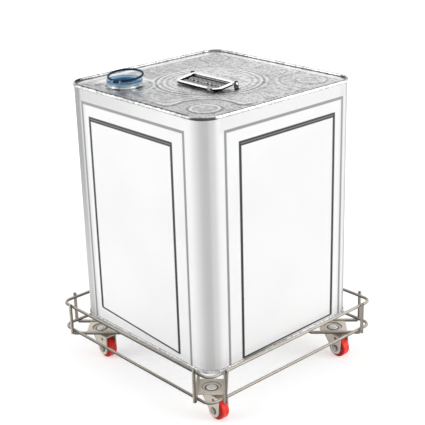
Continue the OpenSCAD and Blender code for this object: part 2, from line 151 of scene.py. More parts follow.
class Value:
    """One output of a shader node. Python's arithmetic on it adds Math nodes."""

    __add__, __radd__ = math_node("ADD"), math_node("ADD", flip=True)
    __sub__, __rsub__ = math_node("SUBTRACT"), math_node("SUBTRACT", flip=True)
    __mul__, __rmul__ = math_node("MULTIPLY"), math_node("MULTIPLY", flip=True)
    __truediv__, __pow__ = math_node("DIVIDE"), math_node("POWER")
    __abs__ = math_node("ABSOLUTE")
    least, most = math_node("MINIMUM"), math_node("MAXIMUM")

    def __init__(self, graph: "Graph", socket: bpy.types.NodeSocket) -> None:
        """Wraps an output socket of a graph."""
        self.graph = graph
        self.socket = socket

    def ramp(self, low: float, high: float) -> "Value":
        """A smooth step.

        Args:
            low: Where the result is 0.
            high: Where the result is 1. It may lie below low.

        Returns:
            A value from 0 to 1 with soft ends.
        """
        flip = low > high
        start, end = (high, low) if flip else (low, high)
        step = self.graph.node(
            "ShaderNodeMapRange",
            {"interpolation_type": "SMOOTHSTEP"},
            {"Value": self, "From Min": start, "From Max": end},
        )
        return 1.0 - step if flip else step


class Graph:
    """The node tree of a material or of the world, with one method that makes any node."""

    def __init__(self, owner: bpy.types.Material | bpy.types.World) -> None:
        """Empties the owner's tree.

        Args:
            owner: The material or world that the nodes dress.
        """
        owner.use_nodes = True
        self.tree = owner.node_tree
        self.tree.nodes.clear()

    def node(
        self, kind: str, settings: dict | None = None, inputs: dict | None = None, output: int | str = 0
    ) -> Value:
        """Makes a node.

        Args:
            kind: The node's type.
            settings: Properties to set first. "stops" are a ramp's positions and colours.
            inputs: Values or links for its sockets, by name or number.
            output: The output that is returned.

        Returns:
            The chosen output.
        """
        made = self.tree.nodes.new(kind)
        for key, value in (settings or {}).items():
            if key == "stops":
                stops = made.color_ramp.elements
                while len(stops) < len(value):
                    stops.new(0.5)
                for stop, (place, colour) in zip(stops, value):
                    stop.position = place
                    stop.color = colour
            else:
                setattr(made, key, value)
        for key, value in (inputs or {}).items():
            if isinstance(value, Value):
                self.tree.links.new(value.socket, made.inputs[key])
            else:
                made.inputs[key].default_value = value
        return Value(self, made.outputs[output])

    def place(self) -> Value:
        """The point on the piece, in metres."""
        return self.node("ShaderNodeTexCoord", output="Object")

    def axes(self, point: Value) -> tuple[Value, Value, Value]:
        """Splits a point.

        Args:
            point: A vector, in metres.

        Returns:
            Its X, Y and Z, in millimetres.
        """
        split = self.node("ShaderNodeSeparateXYZ", inputs={0: point})
        outputs = split.socket.node.outputs
        return tuple(Value(self, outputs[i]) * (1.0 / MM) for i in range(3))

    def stretch(self, point: Value, scale: Triple) -> Value:
        """The point with each axis scaled, for patterns that run one way."""
        return self.node("ShaderNodeMapping", inputs={"Vector": point, "Scale": scale})

    def noise(self, point: Value, scale: float, detail: float = 3.0, rough: float = 0.5) -> Value:
        """Cloudy noise around 0.5 with cells of one over scale metres."""
        inputs = {"Vector": point, "Scale": scale, "Detail": detail, "Roughness": rough}
        return self.node("ShaderNodeTexNoise", inputs=inputs)

    def cells(self, point: Value, scale: float) -> Value:
        """A random grey for each cell of a cell pattern."""
        colour = self.node("ShaderNodeTexVoronoi", inputs={"Vector": point, "Scale": scale}, output="Color")
        return self.node("ShaderNodeSeparateColor", inputs={0: colour})

    def cover(self, colour: Value | Colour, *layers: tuple[Value, Value | Colour]) -> Value:
        """Lays colours over one another.

        Args:
            colour: The lowest colour.
            layers: From the lowest up, a mask that is 1 where it covers, and its colour.

        Returns:
            The colour that is seen.
        """
        for mask, over in layers:
            colour = self.node("ShaderNodeMix", {"data_type": "RGBA"}, {0: mask, 6: colour, 7: over}, 2)
        return colour

    def marked(self, colour: Value, dark: Colour, bright: Colour) -> Value:
        """A colour with the mesh's marks over it: painted shade (and print) where they are above 0, and
        painted highlight below.
        """
        mark = self.node("ShaderNodeAttribute", {"attribute_name": MARK_LAYER}, output="Fac")
        return self.cover(colour, (mark, dark), (0.0 - mark, bright))

    def bump(self, height: Value, distance: float, strength: float) -> Value:
        """A normal bent by a height from 0 to 1, where 1 is the distance in metres."""
        inputs = {"Height": height, "Distance": distance, "Strength": strength}
        return self.node("ShaderNodeBump", inputs=inputs)

    def white_rays(self) -> Value:
        """1 for rays that see the room white: the camera's, in gloss and through clear pieces.

        Returns:
            The greatest of the three flags.
        """
        camera = self.node("ShaderNodeLightPath", output="Is Camera Ray")
        outputs = camera.socket.node.outputs
        gloss, through = (Value(self, outputs[f"Is {kind} Ray"]) for kind in ("Glossy", "Transmission"))
        return camera.most(gloss).most(through)

    def show(self, shader: Value, output: str = "ShaderNodeOutputMaterial") -> None:
        """Links a shader to the tree's output."""
        made = self.tree.nodes.new(output)
        self.tree.links.new(shader.socket, made.inputs["Surface"])

    def finish(self, inputs: dict) -> None:
        """Adds the surface shader, with values or links for its sockets, and the output."""
        self.show(self.node("ShaderNodeBsdfPrincipled", inputs=inputs))


def rgb(red: float, green: float, blue: float) -> Colour:
    """An opaque colour."""
    return (red, green, blue, 1.0)


def grey(level: float, blue: float = 0.0) -> Colour:
    """A neutral colour, or a cool one with a little more blue."""
    return (level, level, level + blue, 1.0)


@dataclass(frozen=True)
class Finish:
    """A finish that a slot's pieces are dressed in."""

    slot: Slot

    def make(self) -> bpy.types.Material:
        """Makes the material.

        Returns:
            The material, ready for use.
        """
        material = bpy.data.materials.new(self.slot.value + "_finish")
        self.dress(Graph(material))
        return material

    def dress(self, graph: Graph) -> None:
        """Fills the material's graph. Each finish has its own way."""
        raise NotImplementedError


@dataclass(frozen=True)
class PrintedFrame:
    """Where one side's two printed frames run, in millimetres along the side and up."""

    outer: Pair
    inner: Pair
    low: float
    slope: float
    outer_top: float = 338.0
    inner_top: float = 320.5

    @staticmethod
    def flanks(ends: Pair, along: Value) -> tuple[Value, float]:
        """Distance from the middle of a frame's two flanks, and half the way between them."""
        return abs(along - (ends[0] + ends[1]) / 2.0), (ends[1] - ends[0]) / 2.0


@dataclass(frozen=True)
class WhiteLacquer(Finish):
    """White stoving lacquer on tinplate, with two printed frames on the two front sides."""

    white: Colour = grey(0.87)
    # painted light: the next colour whitens the paint towards the front right corner and the bottom
    painted_light_white: Colour = grey(0.97)
    cool_white: Colour = grey(0.84, 0.005)
    smudged: Colour = grey(0.76, 0.01)
    # painted shade: the next grey darkens the head band and the side bends
    shade_grey: Colour = grey(0.62)
    thin_grey: Colour = grey(0.3, 0.01)
    dark_grey: Colour = grey(0.02, 0.002)
    core_grey: Colour = grey(0.2, 0.005)
    # painted shade round the bends: the left bend, the back bends and, by the ramp below, the front bend
    left_bend_shade: Colour = grey(0.38, 0.005)
    back_bend_shade: Colour = grey(0.34, 0.005)
    front_bend_shades: tuple[Pair, ...] = (
        *((0.0, 0.97), (0.14, 0.93), (0.3, 0.85), (0.36, 0.79), (0.5, 0.73)),
        *((0.62, 0.73), (0.7, 0.81), (0.82, 0.83), (0.92, 0.93), (1.0, 0.97)),
    )
    front: PrintedFrame = PrintedFrame((-89.5, 88.0), (-76.4, 67.6), 74.7, -0.062)
    right: PrintedFrame = PrintedFrame((-88.0, 96.0), (-67.0, 82.0), 65.2, 0.012)
    thin_half: float = 1.7
    head_half: float = 2.8
    flank_half: float = 1.95
    foot_half: float = 1.15
    core_half: float = 0.45
    soft: float = 0.5
    crisp: float = 0.35

    def bar(self, value: Value, centre: float, half: float, soft: float) -> Value:
        """1 where the value is within half of the centre, with soft edges."""
        return abs(value - centre).ramp(half + soft, half - soft)

    def frame_masks(
        self, printed: PrintedFrame, along: Value, up: Value, facing: Value
    ) -> tuple[Value, Value, Value]:
        """The printed frames of one side.

        A line is where the distance to a rectangle's edge is less than half the line's width.
        The inner frame has a heavy head with a paler core, plain flanks and a fine foot.

        Args:
            printed: Where the frames run.
            along: Distance along the side from its middle, in millimetres.
            up: Height, in millimetres.
            facing: 1 on this side and 0 elsewhere.

        Returns:
            Masks of the thin outer line, the dark inner line and that line's paler core.
        """
        side, half = printed.flanks(printed.outer, along)
        edge = (side - half).most(up - printed.outer_top)
        thin = self.bar(edge, 0.0, self.thin_half, self.soft) * facing
        side, half = printed.flanks(printed.inner, along)
        top = printed.inner_top
        base = along * printed.slope + printed.low
        head = self.bar(up, top, self.head_half, self.soft) * side.ramp(half + 2.2, half + 1.4)
        tall = (up - base).ramp(-0.4, 0.2) * up.ramp(top + 0.6, top)
        flank = self.bar(side, half, self.flank_half, self.soft) * tall
        foot = self.bar(up - base, 0.3, self.foot_half, self.crisp) * side.ramp(half + 0.8, half)
        core = self.bar(up, top - 0.2, self.core_half, self.crisp) * side.ramp(half - 0.6, half - 1.2)
        return thin, head.most(flank).most(foot) * facing, core * facing

    def bend_mask(self, x: Value, y: Value, corner: Corner, start: float, end: float) -> Value:
        """1 round one corner: the smaller of two soft steps, along X and along Y.

        Args:
            x: Distance along X, in millimetres.
            y: Distance along Y.
            corner: Which corner.
            start: Distance from the middle where the steps leave 0.
            end: Distance where they reach 1.

        Returns:
            The mask.
        """
        x_sign, y_sign = (float(sign) for sign in corner.value)
        return (x * x_sign).ramp(start, end).least((y * y_sign).ramp(start, end))

    def round_bend(self, x: Value, y: Value) -> Value:
        """How far round the front bend a point lies: 0 on the front side and 1 on the right side.

        With u and v the shares of the radius past the start of the bend, it is (1 + u - v) / 2.

        Args:
            x: Distance along X, in millimetres.
            y: Distance along Y.

        Returns:
            The share.
        """
        start = TIN_HALF - TIN_CORNER
        u = ((x - start) / TIN_CORNER).most(0.0).least(1.0)
        v = ((0.0 - y - start) / TIN_CORNER).most(0.0).least(1.0)
        return (u - v) * 0.5 + 0.5

    def worn_paint_with_painted_light(
        self, graph: Graph, point: Value, axes: tuple[Value, Value, Value], smudge: Value, front: Value
    ) -> Value:
        """The plain paint: clouded and smudged, made whiter to the right and below by painted light, and
        darkened along its head by painted shade.

        Args:
            graph: The material's graph.
            point: The point on the piece.
            axes: Its X, Y and Z, in millimetres.
            smudge: The noise of the smudges.
            front: 1 on the front side.

        Returns:
            Its colour.
        """
        x, y, z = axes
        cloud = graph.noise(point, scale=9.0, detail=2.0)
        mottle = graph.noise(point, scale=150.0, detail=3.0, rough=0.65)
        # painted shade along the band above the thin frame line, mottled, deepest at the front side's left
        # end
        head = z.ramp(self.front.outer_top - 1.0, self.front.outer_top + 1.0)
        left_end_shade = x.ramp(110.0, -95.0) * front * 0.85 + (1.0 - front) * 0.22
        return graph.cover(
            self.white,
            # painted light: whiter towards the front right corner and towards the bottom
            ((x - y).ramp(0.0, 215.0), self.painted_light_white),
            (z.ramp(250.0, 50.0), self.painted_light_white),
            (cloud.ramp(0.35, 0.75) * 0.35, self.cool_white),
            (smudge.ramp(0.66, 0.82) * 0.2, self.smudged),
            (head * left_end_shade * (0.75 + 0.5 * mottle), self.shade_grey),
        )

    def dress(self, graph: Graph) -> None:
        """The worn paint with its painted light and shade, painted shade round the bends, the printed lines
        over them, and a fine orange peel.

        Args:
            graph: The material's graph.
        """
        point = graph.place()
        x, y, z = axes = graph.axes(point)
        front = (0.0 - y).ramp(TIN_HALF - 2.5, TIN_HALF - 1.5)
        right = x.ramp(TIN_HALF - 2.5, TIN_HALF - 1.5)
        smudge = graph.noise(graph.stretch(point, (1.0, 1.0, 0.25)), scale=60.0, detail=4.0, rough=0.6)
        paint = self.worn_paint_with_painted_light(graph, point, axes, smudge, front)
        start = TIN_HALF - TIN_CORNER
        # masks of the painted shade round the bends
        near_bend = self.bend_mask(x, y, Corner.FRONT_RIGHT, start - 3.0, start + 3.0)
        far_bend = self.bend_mask(x, y, Corner.FRONT_LEFT, 90.0, 96.0)
        side_bend = self.bend_mask(x, y, Corner.FRONT_LEFT, 82.0, 86.0)
        side_bend = side_bend.most(self.bend_mask(x, y, Corner.BACK_RIGHT, 90.0, 95.0))
        back_bend = self.bend_mask(x, y, Corner.BACK_RIGHT, 101.0, 108.0)
        back_bend = back_bend.most(self.bend_mask(x, y, Corner.BACK_LEFT, 92.0, 99.0))
        stops = [(place, grey(level)) for place, level in self.front_bend_shades]
        shade = graph.node("ShaderNodeValToRGB", {"stops": stops}, {0: self.round_bend(x, y)})
        front_lines = self.frame_masks(self.front, x, z, front)
        right_lines = self.frame_masks(self.right, y, z, right)
        thin, dark, core = (a.most(b) for a, b in zip(front_lines, right_lines))
        paint = graph.cover(
            paint,
            # painted shade round the front, side, left and back bends
            (near_bend, shade),
            (side_bend * 0.35, self.shade_grey),
            (far_bend * (0.55 + 0.45 * z.ramp(120.0, 300.0)), self.left_bend_shade),
            (back_bend, self.back_bend_shade),
            (thin, self.thin_grey),
            (dark, self.dark_grey),
            (core, self.core_grey),
        )
        peel = graph.noise(point, scale=900.0, detail=2.0)
        dents = graph.noise(point, scale=14.0, detail=1.0)
        graph.finish(
            {
                "Base Color": paint,
                "Roughness": 0.36 + 0.12 * smudge + 0.4 * far_bend,
                "Coat Weight": 0.12 - 0.12 * far_bend,
                "Coat Roughness": 0.12,
                "Specular IOR Level": 0.22,
                "Normal": graph.bump(peel * 0.05 + dents * 0.6, distance=0.0008, strength=0.35),
            }
        )


@dataclass(frozen=True)
class BrightTinplate(Finish):
    """Bare rolled tinplate: grey metal with rolling lines, faint spangle and greasy marks, under painted
    shade and painted highlights.
    """

    light: Colour = grey(0.74, 0.005)
    dull: Colour = grey(0.62, 0.005)
    # painted shade: the next grey darkens the metal towards the front and the left
    wear_and_shade: Colour = grey(0.42, 0.005)
    spangled: Colour = grey(0.88)
    worn: Colour = grey(0.2, 0.005)
    # painted shade and painted highlight colours of the mesh's marks; the pale one also lightens the middle
    pressed: Colour = grey(0.02, 0.002)
    pale_and_highlight: Colour = grey(0.97)

    def dress(self, graph: Graph) -> None:
        """Metal with painted shade towards the front and the left, paler in the middle, worn in fine marks,
        with rolling lines along X.

        Args:
            graph: The material's graph.
        """
        point = graph.place()
        x, y, _ = graph.axes(point)
        lines = graph.noise(graph.stretch(point, (20.0, 900.0, 900.0)), scale=1.0, rough=0.6)
        spangle = graph.cells(point, scale=160.0)
        cloud = graph.noise(point, scale=22.0, detail=4.0, rough=0.6)
        mark = graph.noise(graph.stretch(point, (1.0, 2.4, 1.0)), scale=55.0, detail=5.0, rough=0.7)
        fine = graph.noise(graph.stretch(point, (1.0, 1.6, 1.0)), scale=260.0, rough=0.7)
        metal = graph.cover(
            self.light,
            (cloud.ramp(0.3, 0.7), self.dull),
            # painted shade towards the front and the left
            ((x + y).ramp(150.0, -130.0) * 0.6, self.wear_and_shade),
            ((0.0 - y).ramp(20.0, 100.0) * 0.25, self.wear_and_shade),
            # paler in the middle
            ((x * x + y * y).ramp(6000.0, 1500.0) * 0.5, self.pale_and_highlight),
            (spangle.ramp(0.3, 1.0) * 0.4, self.spangled),
            (fine.ramp(0.5, 0.6) * 0.75, self.worn),
            (mark.ramp(0.52, 0.64) * 0.55, self.worn),
        )
        graph.finish(
            {
                # the mesh's painted shade and highlight marks over the metal
                "Base Color": graph.marked(metal, self.pressed, self.pale_and_highlight),
                "Metallic": 1.0,
                "Roughness": 0.24 + 0.14 * cloud + 0.1 * lines,
                "Normal": graph.bump(lines * 0.25 + cloud, distance=0.0006, strength=0.35),
            }
        )


@dataclass(frozen=True)
class BrushedMetal(Finish):
    """Bare steel with a brushed grain, small pits and stains, under painted shade and highlight marks."""

    light: Colour
    dark: Colour
    low_rough: float
    grain: float = 900.0
    stain: float = 0.5
    metallic: float = 1.0
    # painted shade colour, then painted highlight colour, of the mesh's marks
    shade_colour: Colour = rgb(0.02, 0.018, 0.016)
    shine: Colour = rgb(0.97, 0.95, 0.92)

    def dress(self, graph: Graph) -> None:
        """Light metal, darkened by stains at two scales, with the mesh's painted shade and highlight marks
        over it, and roughened by the grain.

        Args:
            graph: The material's graph.
        """
        point = graph.place()
        grain = graph.stretch(point, (self.grain, self.grain, self.grain * 0.12))
        grain = graph.noise(grain, scale=1.0, rough=0.6)
        stain = graph.noise(point, scale=65.0, detail=5.0, rough=0.65)
        spots = graph.noise(point, scale=420.0, rough=0.6)
        stains = (stain.ramp(0.35, 0.75) * self.stain, spots.ramp(0.6, 0.78) * self.stain)
        metal = graph.cover(self.light, *((mask, self.dark) for mask in stains))
        graph.finish(
            {
                "Base Color": graph.marked(metal, self.shade_colour, self.shine),
                "Metallic": self.metallic,
                "Roughness": self.low_rough + 0.16 * stain + 0.08 * grain,
                "Normal": graph.bump(grain * 0.4 + spots * 0.6, distance=0.0002, strength=0.5),
            }
        )


@dataclass(frozen=True)
class MouldedPlastic(Finish):
    """Moulded plastic or rubber with a fine skin, flow marks and worn places, under painted shade and
    highlight marks.
    """

    colour: Colour
    worn: Colour
    roughness: float
    clear: float = 0.0
    coat: float = 0.0
    specular: float = 0.5
    # painted shade colour, then painted highlight colour, of the mesh's marks
    deep: Colour = rgb(0.003, 0.02, 0.05)
    pale: Colour = rgb(0.62, 0.84, 0.95)

    def dress(self, graph: Graph) -> None:
        """One colour that drifts towards its worn colour, under a fine skin, with the mesh's painted shade
        and highlight marks over it.

        Args:
            graph: The material's graph.
        """
        point = graph.place()
        flow = graph.noise(point, scale=80.0, rough=0.55)
        skin = graph.noise(point, scale=1400.0, detail=2.0)
        dust = graph.noise(point, scale=300.0, detail=5.0, rough=0.7)
        wear_and_shade = (flow.ramp(0.35, 0.75) * 0.5, dust.ramp(0.62, 0.8) * 0.35)
        colour = graph.cover(self.colour, *((mask, self.worn) for mask in wear_and_shade))
        graph.finish(
            {
                "Base Color": graph.marked(colour, self.deep, self.pale),
                "Roughness": self.roughness + 0.14 * dust,
                "Transmission Weight": self.clear,
                "IOR": 1.46,
                "Specular IOR Level": self.specular,
                "Coat Weight": self.coat,
                "Coat Roughness": 0.1,
                "Normal": graph.bump(skin * 0.3 + flow, distance=0.0002, strength=0.4),
            }
        )


FINISHES = (
    WhiteLacquer(Slot.WHITE_TINPLATE),
    BrightTinplate(Slot.BRIGHT_TINPLATE),
    BrushedMetal(
        Slot.HANDLE_STEEL,
        light=grey(0.95),
        dark=grey(0.74, 0.01),
        low_rough=0.16,
        grain=500.0,
        stain=0.3,
        # painted shade colour of the handle's marks
        shade_colour=grey(0.005, 0.001),
    ),
    BrushedMetal(
        Slot.TROLLEY_WIRE,
        light=rgb(0.43, 0.39, 0.335),
        dark=rgb(0.24, 0.21, 0.17),
        low_rough=0.4,
        grain=600.0,
        stain=0.6,
        metallic=0.35,
        # painted highlight colour on the wires
        shine=rgb(0.6, 0.55, 0.48),
    ),
    BrushedMetal(
        Slot.CASTOR_STEEL,
        light=rgb(0.97, 0.88, 0.77),
        dark=rgb(0.68, 0.6, 0.5),
        low_rough=0.36,
        metallic=0.45,
    ),
    BrushedMetal(Slot.BALL_STEEL, light=grey(0.7), dark=grey(0.45), low_rough=0.1, stain=0.3),
    BrushedMetal(
        Slot.BOLT_STEEL, light=rgb(0.36, 0.35, 0.33), dark=rgb(0.14, 0.13, 0.12), low_rough=0.28, stain=0.6
    ),
    MouldedPlastic(
        Slot.HUB_PLASTIC, colour=rgb(0.78, 0.72, 0.62), worn=rgb(0.62, 0.56, 0.47), roughness=0.45
    ),
    MouldedPlastic(
        Slot.RED_TYRE,
        colour=rgb(0.95, 0.03, 0.018),
        worn=rgb(0.97, 0.06, 0.04),
        roughness=0.3,
        coat=0.04,
        specular=0.25,
        # painted shade and painted highlight colours of the tyre
        deep=rgb(0.3, 0.008, 0.006),
        pale=rgb(0.98, 0.3, 0.24),
    ),
    MouldedPlastic(
        Slot.BLUE_PLASTIC,
        colour=rgb(0.085, 0.39, 0.74),
        worn=rgb(0.18, 0.52, 0.82),
        roughness=0.12,
        clear=0.25,
        coat=0.4,
    ),
    MouldedPlastic(
        Slot.DARK_BLUE_PLASTIC,
        colour=rgb(0.003, 0.016, 0.034),
        worn=rgb(0.006, 0.035, 0.07),
        # painted highlight colour of the pull ring
        pale=rgb(0.12, 0.42, 0.68),
        roughness=0.3,
        specular=0.15,
    ),
)


class Palette:
    """The finishes by slot. Each material is made once."""

    def __init__(self) -> None:
        """Makes every material."""
        self.materials = {finish.slot: finish.make() for finish in FINISHES}

    def paint(self, piece: bpy.types.Object, slot: Slot) -> None:
        """Gives a piece its slot's material."""
        piece.data.materials.clear()
        piece.data.materials.append(self.materials[slot])


# ------------------------ surfaces


def xyz(x: Numbers, y: Numbers, z: Numbers) -> Array:
    """Points from their coordinates, which are first spread to one shape."""
    return np.stack(np.broadcast_arrays(x, y, z), -1)


def raised(flat: Array, height: Numbers) -> Array:
    """Flat points, (..., 2), each lifted to its height."""
    return xyz(flat[..., 0], flat[..., 1], height)


def full_turn(count: int) -> Array:
    """Evenly spaced angles of a full turn."""
    return np.linspace(0.0, TAU, count, endpoint=False)


def spokes(angle: Array) -> Array:
    """Unit vectors (cos a, sin a), (..., 2)."""
    return np.stack([np.cos(angle), np.sin(angle)], -1)


def arc(centre: Pair, radius: float, start: float, end: float, count: int) -> Array:
    """Points of an arc between two angles in degrees, both ends kept, as (count, 2)."""
    return np.array(centre) + radius * spokes(np.radians(np.linspace(start, end, count)))


def blend(first: Numbers, second: Numbers, share: Array) -> Array:
    """The first where the share is 0, and the second where it is 1."""
    return first * (1.0 - share) + second * share


def soft_step(value: Array, low: Numbers, high: Numbers) -> Array:
    """3t^2 - 2t^3 of t, which runs from 0 at low to 1 at high, even where high is the smaller."""
    t = np.clip((value - low) / (high - low), 0.0, 1.0)
    return t * t * (3.0 - 2.0 * t)


def ridge(distance: Array, width: float) -> Array:
    """A raised cosine: 1 where the distance is 0, falling to 0 at half the width."""
    return 0.5 + 0.5 * np.cos(np.pi * np.clip(2.0 * distance / width, -1.0, 1.0))


def ridges(distance: Array, lines: Lines) -> Array:
    """The sum of raised cosines, each given by its height, its place and its width."""
    return sum(height * ridge(distance - place, width) for height, place, width in lines)


def soft_min(first: Array, second: Array, reach: float) -> Array:
    """The smaller of two fields, with the crease between them rounded over the reach.

    With h = max(reach - |a - b|, 0) / reach, it is min(a, b) - h^2 reach / 4.
    """
    h = np.maximum(reach - np.abs(first - second), 0.0) / reach
    return np.minimum(first, second) - h * h * reach / 4.0


def rounded_square(half: float, radius: float, arc_points: int, side_points: int) -> tuple[Array, Array]:
    """A closed square path with round corners.

    A corner's points are its centre plus the radius times the unit normal, and a side's points
    are spaced evenly between two corners.

    Args:
        half: Half the width of the square.
        radius: Radius of its corners.
        arc_points: Points in each corner.
        side_points: Points on each side between its corners.

    Returns:
        The points and their outward unit normals, as two (n, 2) arrays.
    """
    turn = np.linspace(0.0, np.pi / 2.0, arc_points)
    normal = spokes(turn[None, :] + np.arange(4)[:, None] * np.pi / 2.0)
    signs = np.array([[1, 1], [-1, 1], [-1, -1], [1, -1]], float)
    corner = signs[:, None, :] * (half - radius) + radius * normal
    following = np.roll(corner[:, :1], -1, axis=0)
    share = np.linspace(0.0, 1.0, side_points + 2)[1:-1, None]
    side = blend(corner[:, -1:], following, share)
    side_normal = np.repeat(normal[:, -1:], side_points, axis=1)
    points = np.concatenate([corner, side], axis=1).reshape(-1, 2)
    normals = np.concatenate([normal, side_normal], axis=1).reshape(-1, 2)
    return points, normals


def bent_path(corners: Array, bend: float, arc_points: int = 8) -> Array:
    """A path through corner points, with each inner corner rounded.

    A bend starts and ends at bend * tan(half the turn) from its corner, and its points lie on
    the circle that touches both legs there.

    Args:
        corners: The corner points, (n, 3).
        bend: The bend radius.
        arc_points: Points in each bend.

    Returns:
        The path's points, (m, 3).
    """
    parts = [corners[:1]]
    for before, here, after in zip(corners[:-2], corners[1:-1], corners[2:]):
        arriving = (here - before) / np.linalg.norm(here - before)
        leaving = (after - here) / np.linalg.norm(after - here)
        turn = math.acos(float(np.clip(arriving @ leaving, -1.0, 1.0)))
        cut = bend * math.tan(turn / 2.0)
        inward = leaving - arriving
        inward = inward / np.linalg.norm(inward)
        centre = here + inward * bend / math.cos(turn / 2.0)
        spoke = here - arriving * cut - centre
        angle = np.linspace(0.0, turn, arc_points)[:, None]
        parts.append(centre + spoke * np.cos(angle) + arriving * bend * np.sin(angle))
    parts.append(corners[-1:])
    return np.concatenate(parts)


@dataclass(frozen=True)
class Tone:
    """Painted light on a wire's sides: painted shade where it faces one way, and a painted highlight where
    it faces away.
    """

    way: Triple
    start: Numbers
    end: Numbers
    dark: float
    bright: float = 0.0

    def marks(self, outward: Array, dark: Numbers, bright: Numbers) -> Array:
        """The painted shade and highlight marks of a wire's points.

        The share of painted shade is a smooth step of the outward normal along the way, and the share of
        painted highlight is what is left below the step's start.

        Args:
            outward: Outward unit normals, (n, sides, 3).
            dark: Further share of the painted shade, as one number or one for each point of the path.
                bright: Further share of the painted highlight.
            bright: Further share of the bright side.

        Returns:
            The marks, (n, sides).
        """
        facing = outward @ (np.array(self.way) / np.linalg.norm(self.way))
        shade = soft_step(facing, self.start, self.end)
        light = soft_step(facing, self.start + 0.1, self.start - 0.35)
        dark, bright = np.reshape(dark, (-1, 1)), np.reshape(bright, (-1, 1))
        return self.dark * shade * dark - self.bright * light * bright


class Shell:
    """Gathers grids of points, in millimetres, and makes one mesh of them."""

    def __init__(self) -> None:
        """Starts with nothing in it."""
        self.points: list[Array] = []
        self.faces: list[list[int]] = []
        self.marks: list[Array] = []
        self.count = 0

    def _add(self, points: Array, marks: Array) -> None:
        """Adds loose points.

        Args:
            points: The points, (n, 3).
            marks: How dark each is, mostly by painted shade, with painted highlight below 0, (n,).
        """
        self.points.append(points)
        self.marks.append(marks)
        self.count += len(points)

    def grid(
        self,
        points: Array,
        mark: Numbers = 0.0,
        *,
        wrap_rows: bool = False,
        wrap_columns: bool = False,
        keep: Array | None = None,
    ) -> "Shell":
        """Adds a surface given on a grid.

        Args:
            points: The points, (rows, columns, 3).
            mark: How dark it is, mostly by painted shade, with painted highlight below 0, as one number or
                an array that spreads to (rows, columns).
            wrap_rows: Whether the last row joins the first.
            wrap_columns: Whether the last column joins the first.
            keep: Which cells are kept, (rows, columns) before wrapping.

        Returns:
            This shell.
        """
        rows, columns = points.shape[:2]
        index = np.arange(rows * columns).reshape(rows, columns) + self.count
        if wrap_rows:
            index = np.vstack([index, index[:1]])
        if wrap_columns:
            index = np.hstack([index, index[:, :1]])
        quads = np.stack([index[:-1, :-1], index[1:, :-1], index[1:, 1:], index[:-1, 1:]], -1)
        if keep is not None:
            quads = quads[keep]
        self.faces += quads.reshape(-1, 4).tolist()
        self._add(points.reshape(-1, 3), np.broadcast_to(mark, (rows, columns)).reshape(-1))
        return self

    def hoop(self, points: Array, mark: Numbers = 0.0) -> "Shell":
        """Adds loops of points that follow one another back to the first."""
        return self.grid(points, mark, wrap_rows=True, wrap_columns=True)

    def loft(self, points: Array, mark: Numbers = 0.0) -> "Shell":
        """Adds loops of points in a row, with a fan round the middle of the first and of the last.

        Args:
            points: The loops, (rows, columns, 3).
            mark: How dark the loops are, mostly by painted shade, with painted highlight below 0.

        Returns:
            This shell.
        """
        first = self.count
        self.grid(points, mark, wrap_columns=True)
        for row in (0, len(points) - 1):
            end = np.arange(points.shape[1]) + first + row * points.shape[1]
            self.faces += np.stack([end, np.roll(end, -1), np.full_like(end, self.count)], -1).tolist()
            self._add(points[row].mean(axis=0)[None, :], np.zeros(1))
        return self

    def lathe(self, profile: Array, centre: Triple, segments: int, mark: Numbers = 0.0) -> "Shell":
        """Turns a closed profile about an upright axis.

        Each point of the profile is a radius and a height, and goes round as
        (r cos a, r sin a, h) added to the centre.

        Args:
            profile: The profile as a loop, (n, 2).
            centre: A point on the axis.
            segments: Steps around.
            mark: How dark it is, mostly by painted shade, with painted highlight below 0: one number, one
                for each point of the profile, or (segments, n).

        Returns:
            This shell.
        """
        turn = spokes(full_turn(segments))[:, None, :]
        return self.hoop(raised(turn * profile[:, :1], profile[:, 1]) + np.array(centre), mark)

    def tube(
        self,
        path: Array,
        radius: Numbers,
        across: Array,
        sides: int,
        tone: Tone | None = None,
        dark: Numbers = 1.0,
        bright: Numbers = 1.0,
        closed: bool = False,
    ) -> "Shell":
        """Carries a circle along a path that lies in a plane.

        Each ring is the path's point plus radius * (cos a * across + sin a * (tangent x across)).

        Args:
            path: The path, (n, 3).
            radius: One radius, or one for each point.
            across: A unit vector square to the path's plane.
            sides: Points around the wire.
            tone: The painted shade and highlight of the wire's sides, if any. dark: Share of the painted
                shade, as one number or one for each point. bright: Share of the painted highlight.
            dark: Share of the dark side, as one number or one for each point.
            bright: Share of the bright side.
            closed: Whether the path is a loop.

        Returns:
            This shell.
        """
        if closed:
            tangent = np.roll(path, -1, axis=0) - np.roll(path, 1, axis=0)
        else:
            tangent = np.gradient(path, axis=0)
        tangent = tangent / np.linalg.norm(tangent, axis=1, keepdims=True)
        second = np.cross(tangent, across)[:, None, :]
        turn = spokes(full_turn(sides))
        outward = turn[:, :1] * across + turn[:, 1:] * second
        mark = tone.marks(outward, dark, bright) if tone else 0.0
        rings = path[:, None, :] + np.reshape(radius, (-1, 1, 1)) * outward
        return self.hoop(rings, mark) if closed else self.loft(rings, mark)

    def box(self, low: Triple, high: Triple, soft: float) -> "Shell":
        """A block whose edges are rounded.

        Each level is a rounded rectangle, pulled in near the top and bottom by a quarter circle.

        Args:
            low: Lowest corner.
            high: Highest corner.
            soft: Radius of the edges.

        Returns:
            This shell.
        """
        middle = (np.array(low) + np.array(high)) / 2.0
        half = (np.array(high) - np.array(low)) / 2.0
        lift = np.radians(np.linspace(-90.0, 90.0, 8))[:, None]
        rise = np.sin(lift) * soft + np.sign(lift) * (half[2] - soft)
        pull = (1.0 - np.cos(lift)) * soft
        flat, normal = rounded_square(1.0, 0.5, 5, 0)
        ring = np.sign(flat) * (half[:2] - soft) + normal * (soft - pull)[..., None]
        return self.loft(raised(ring, rise) + middle)

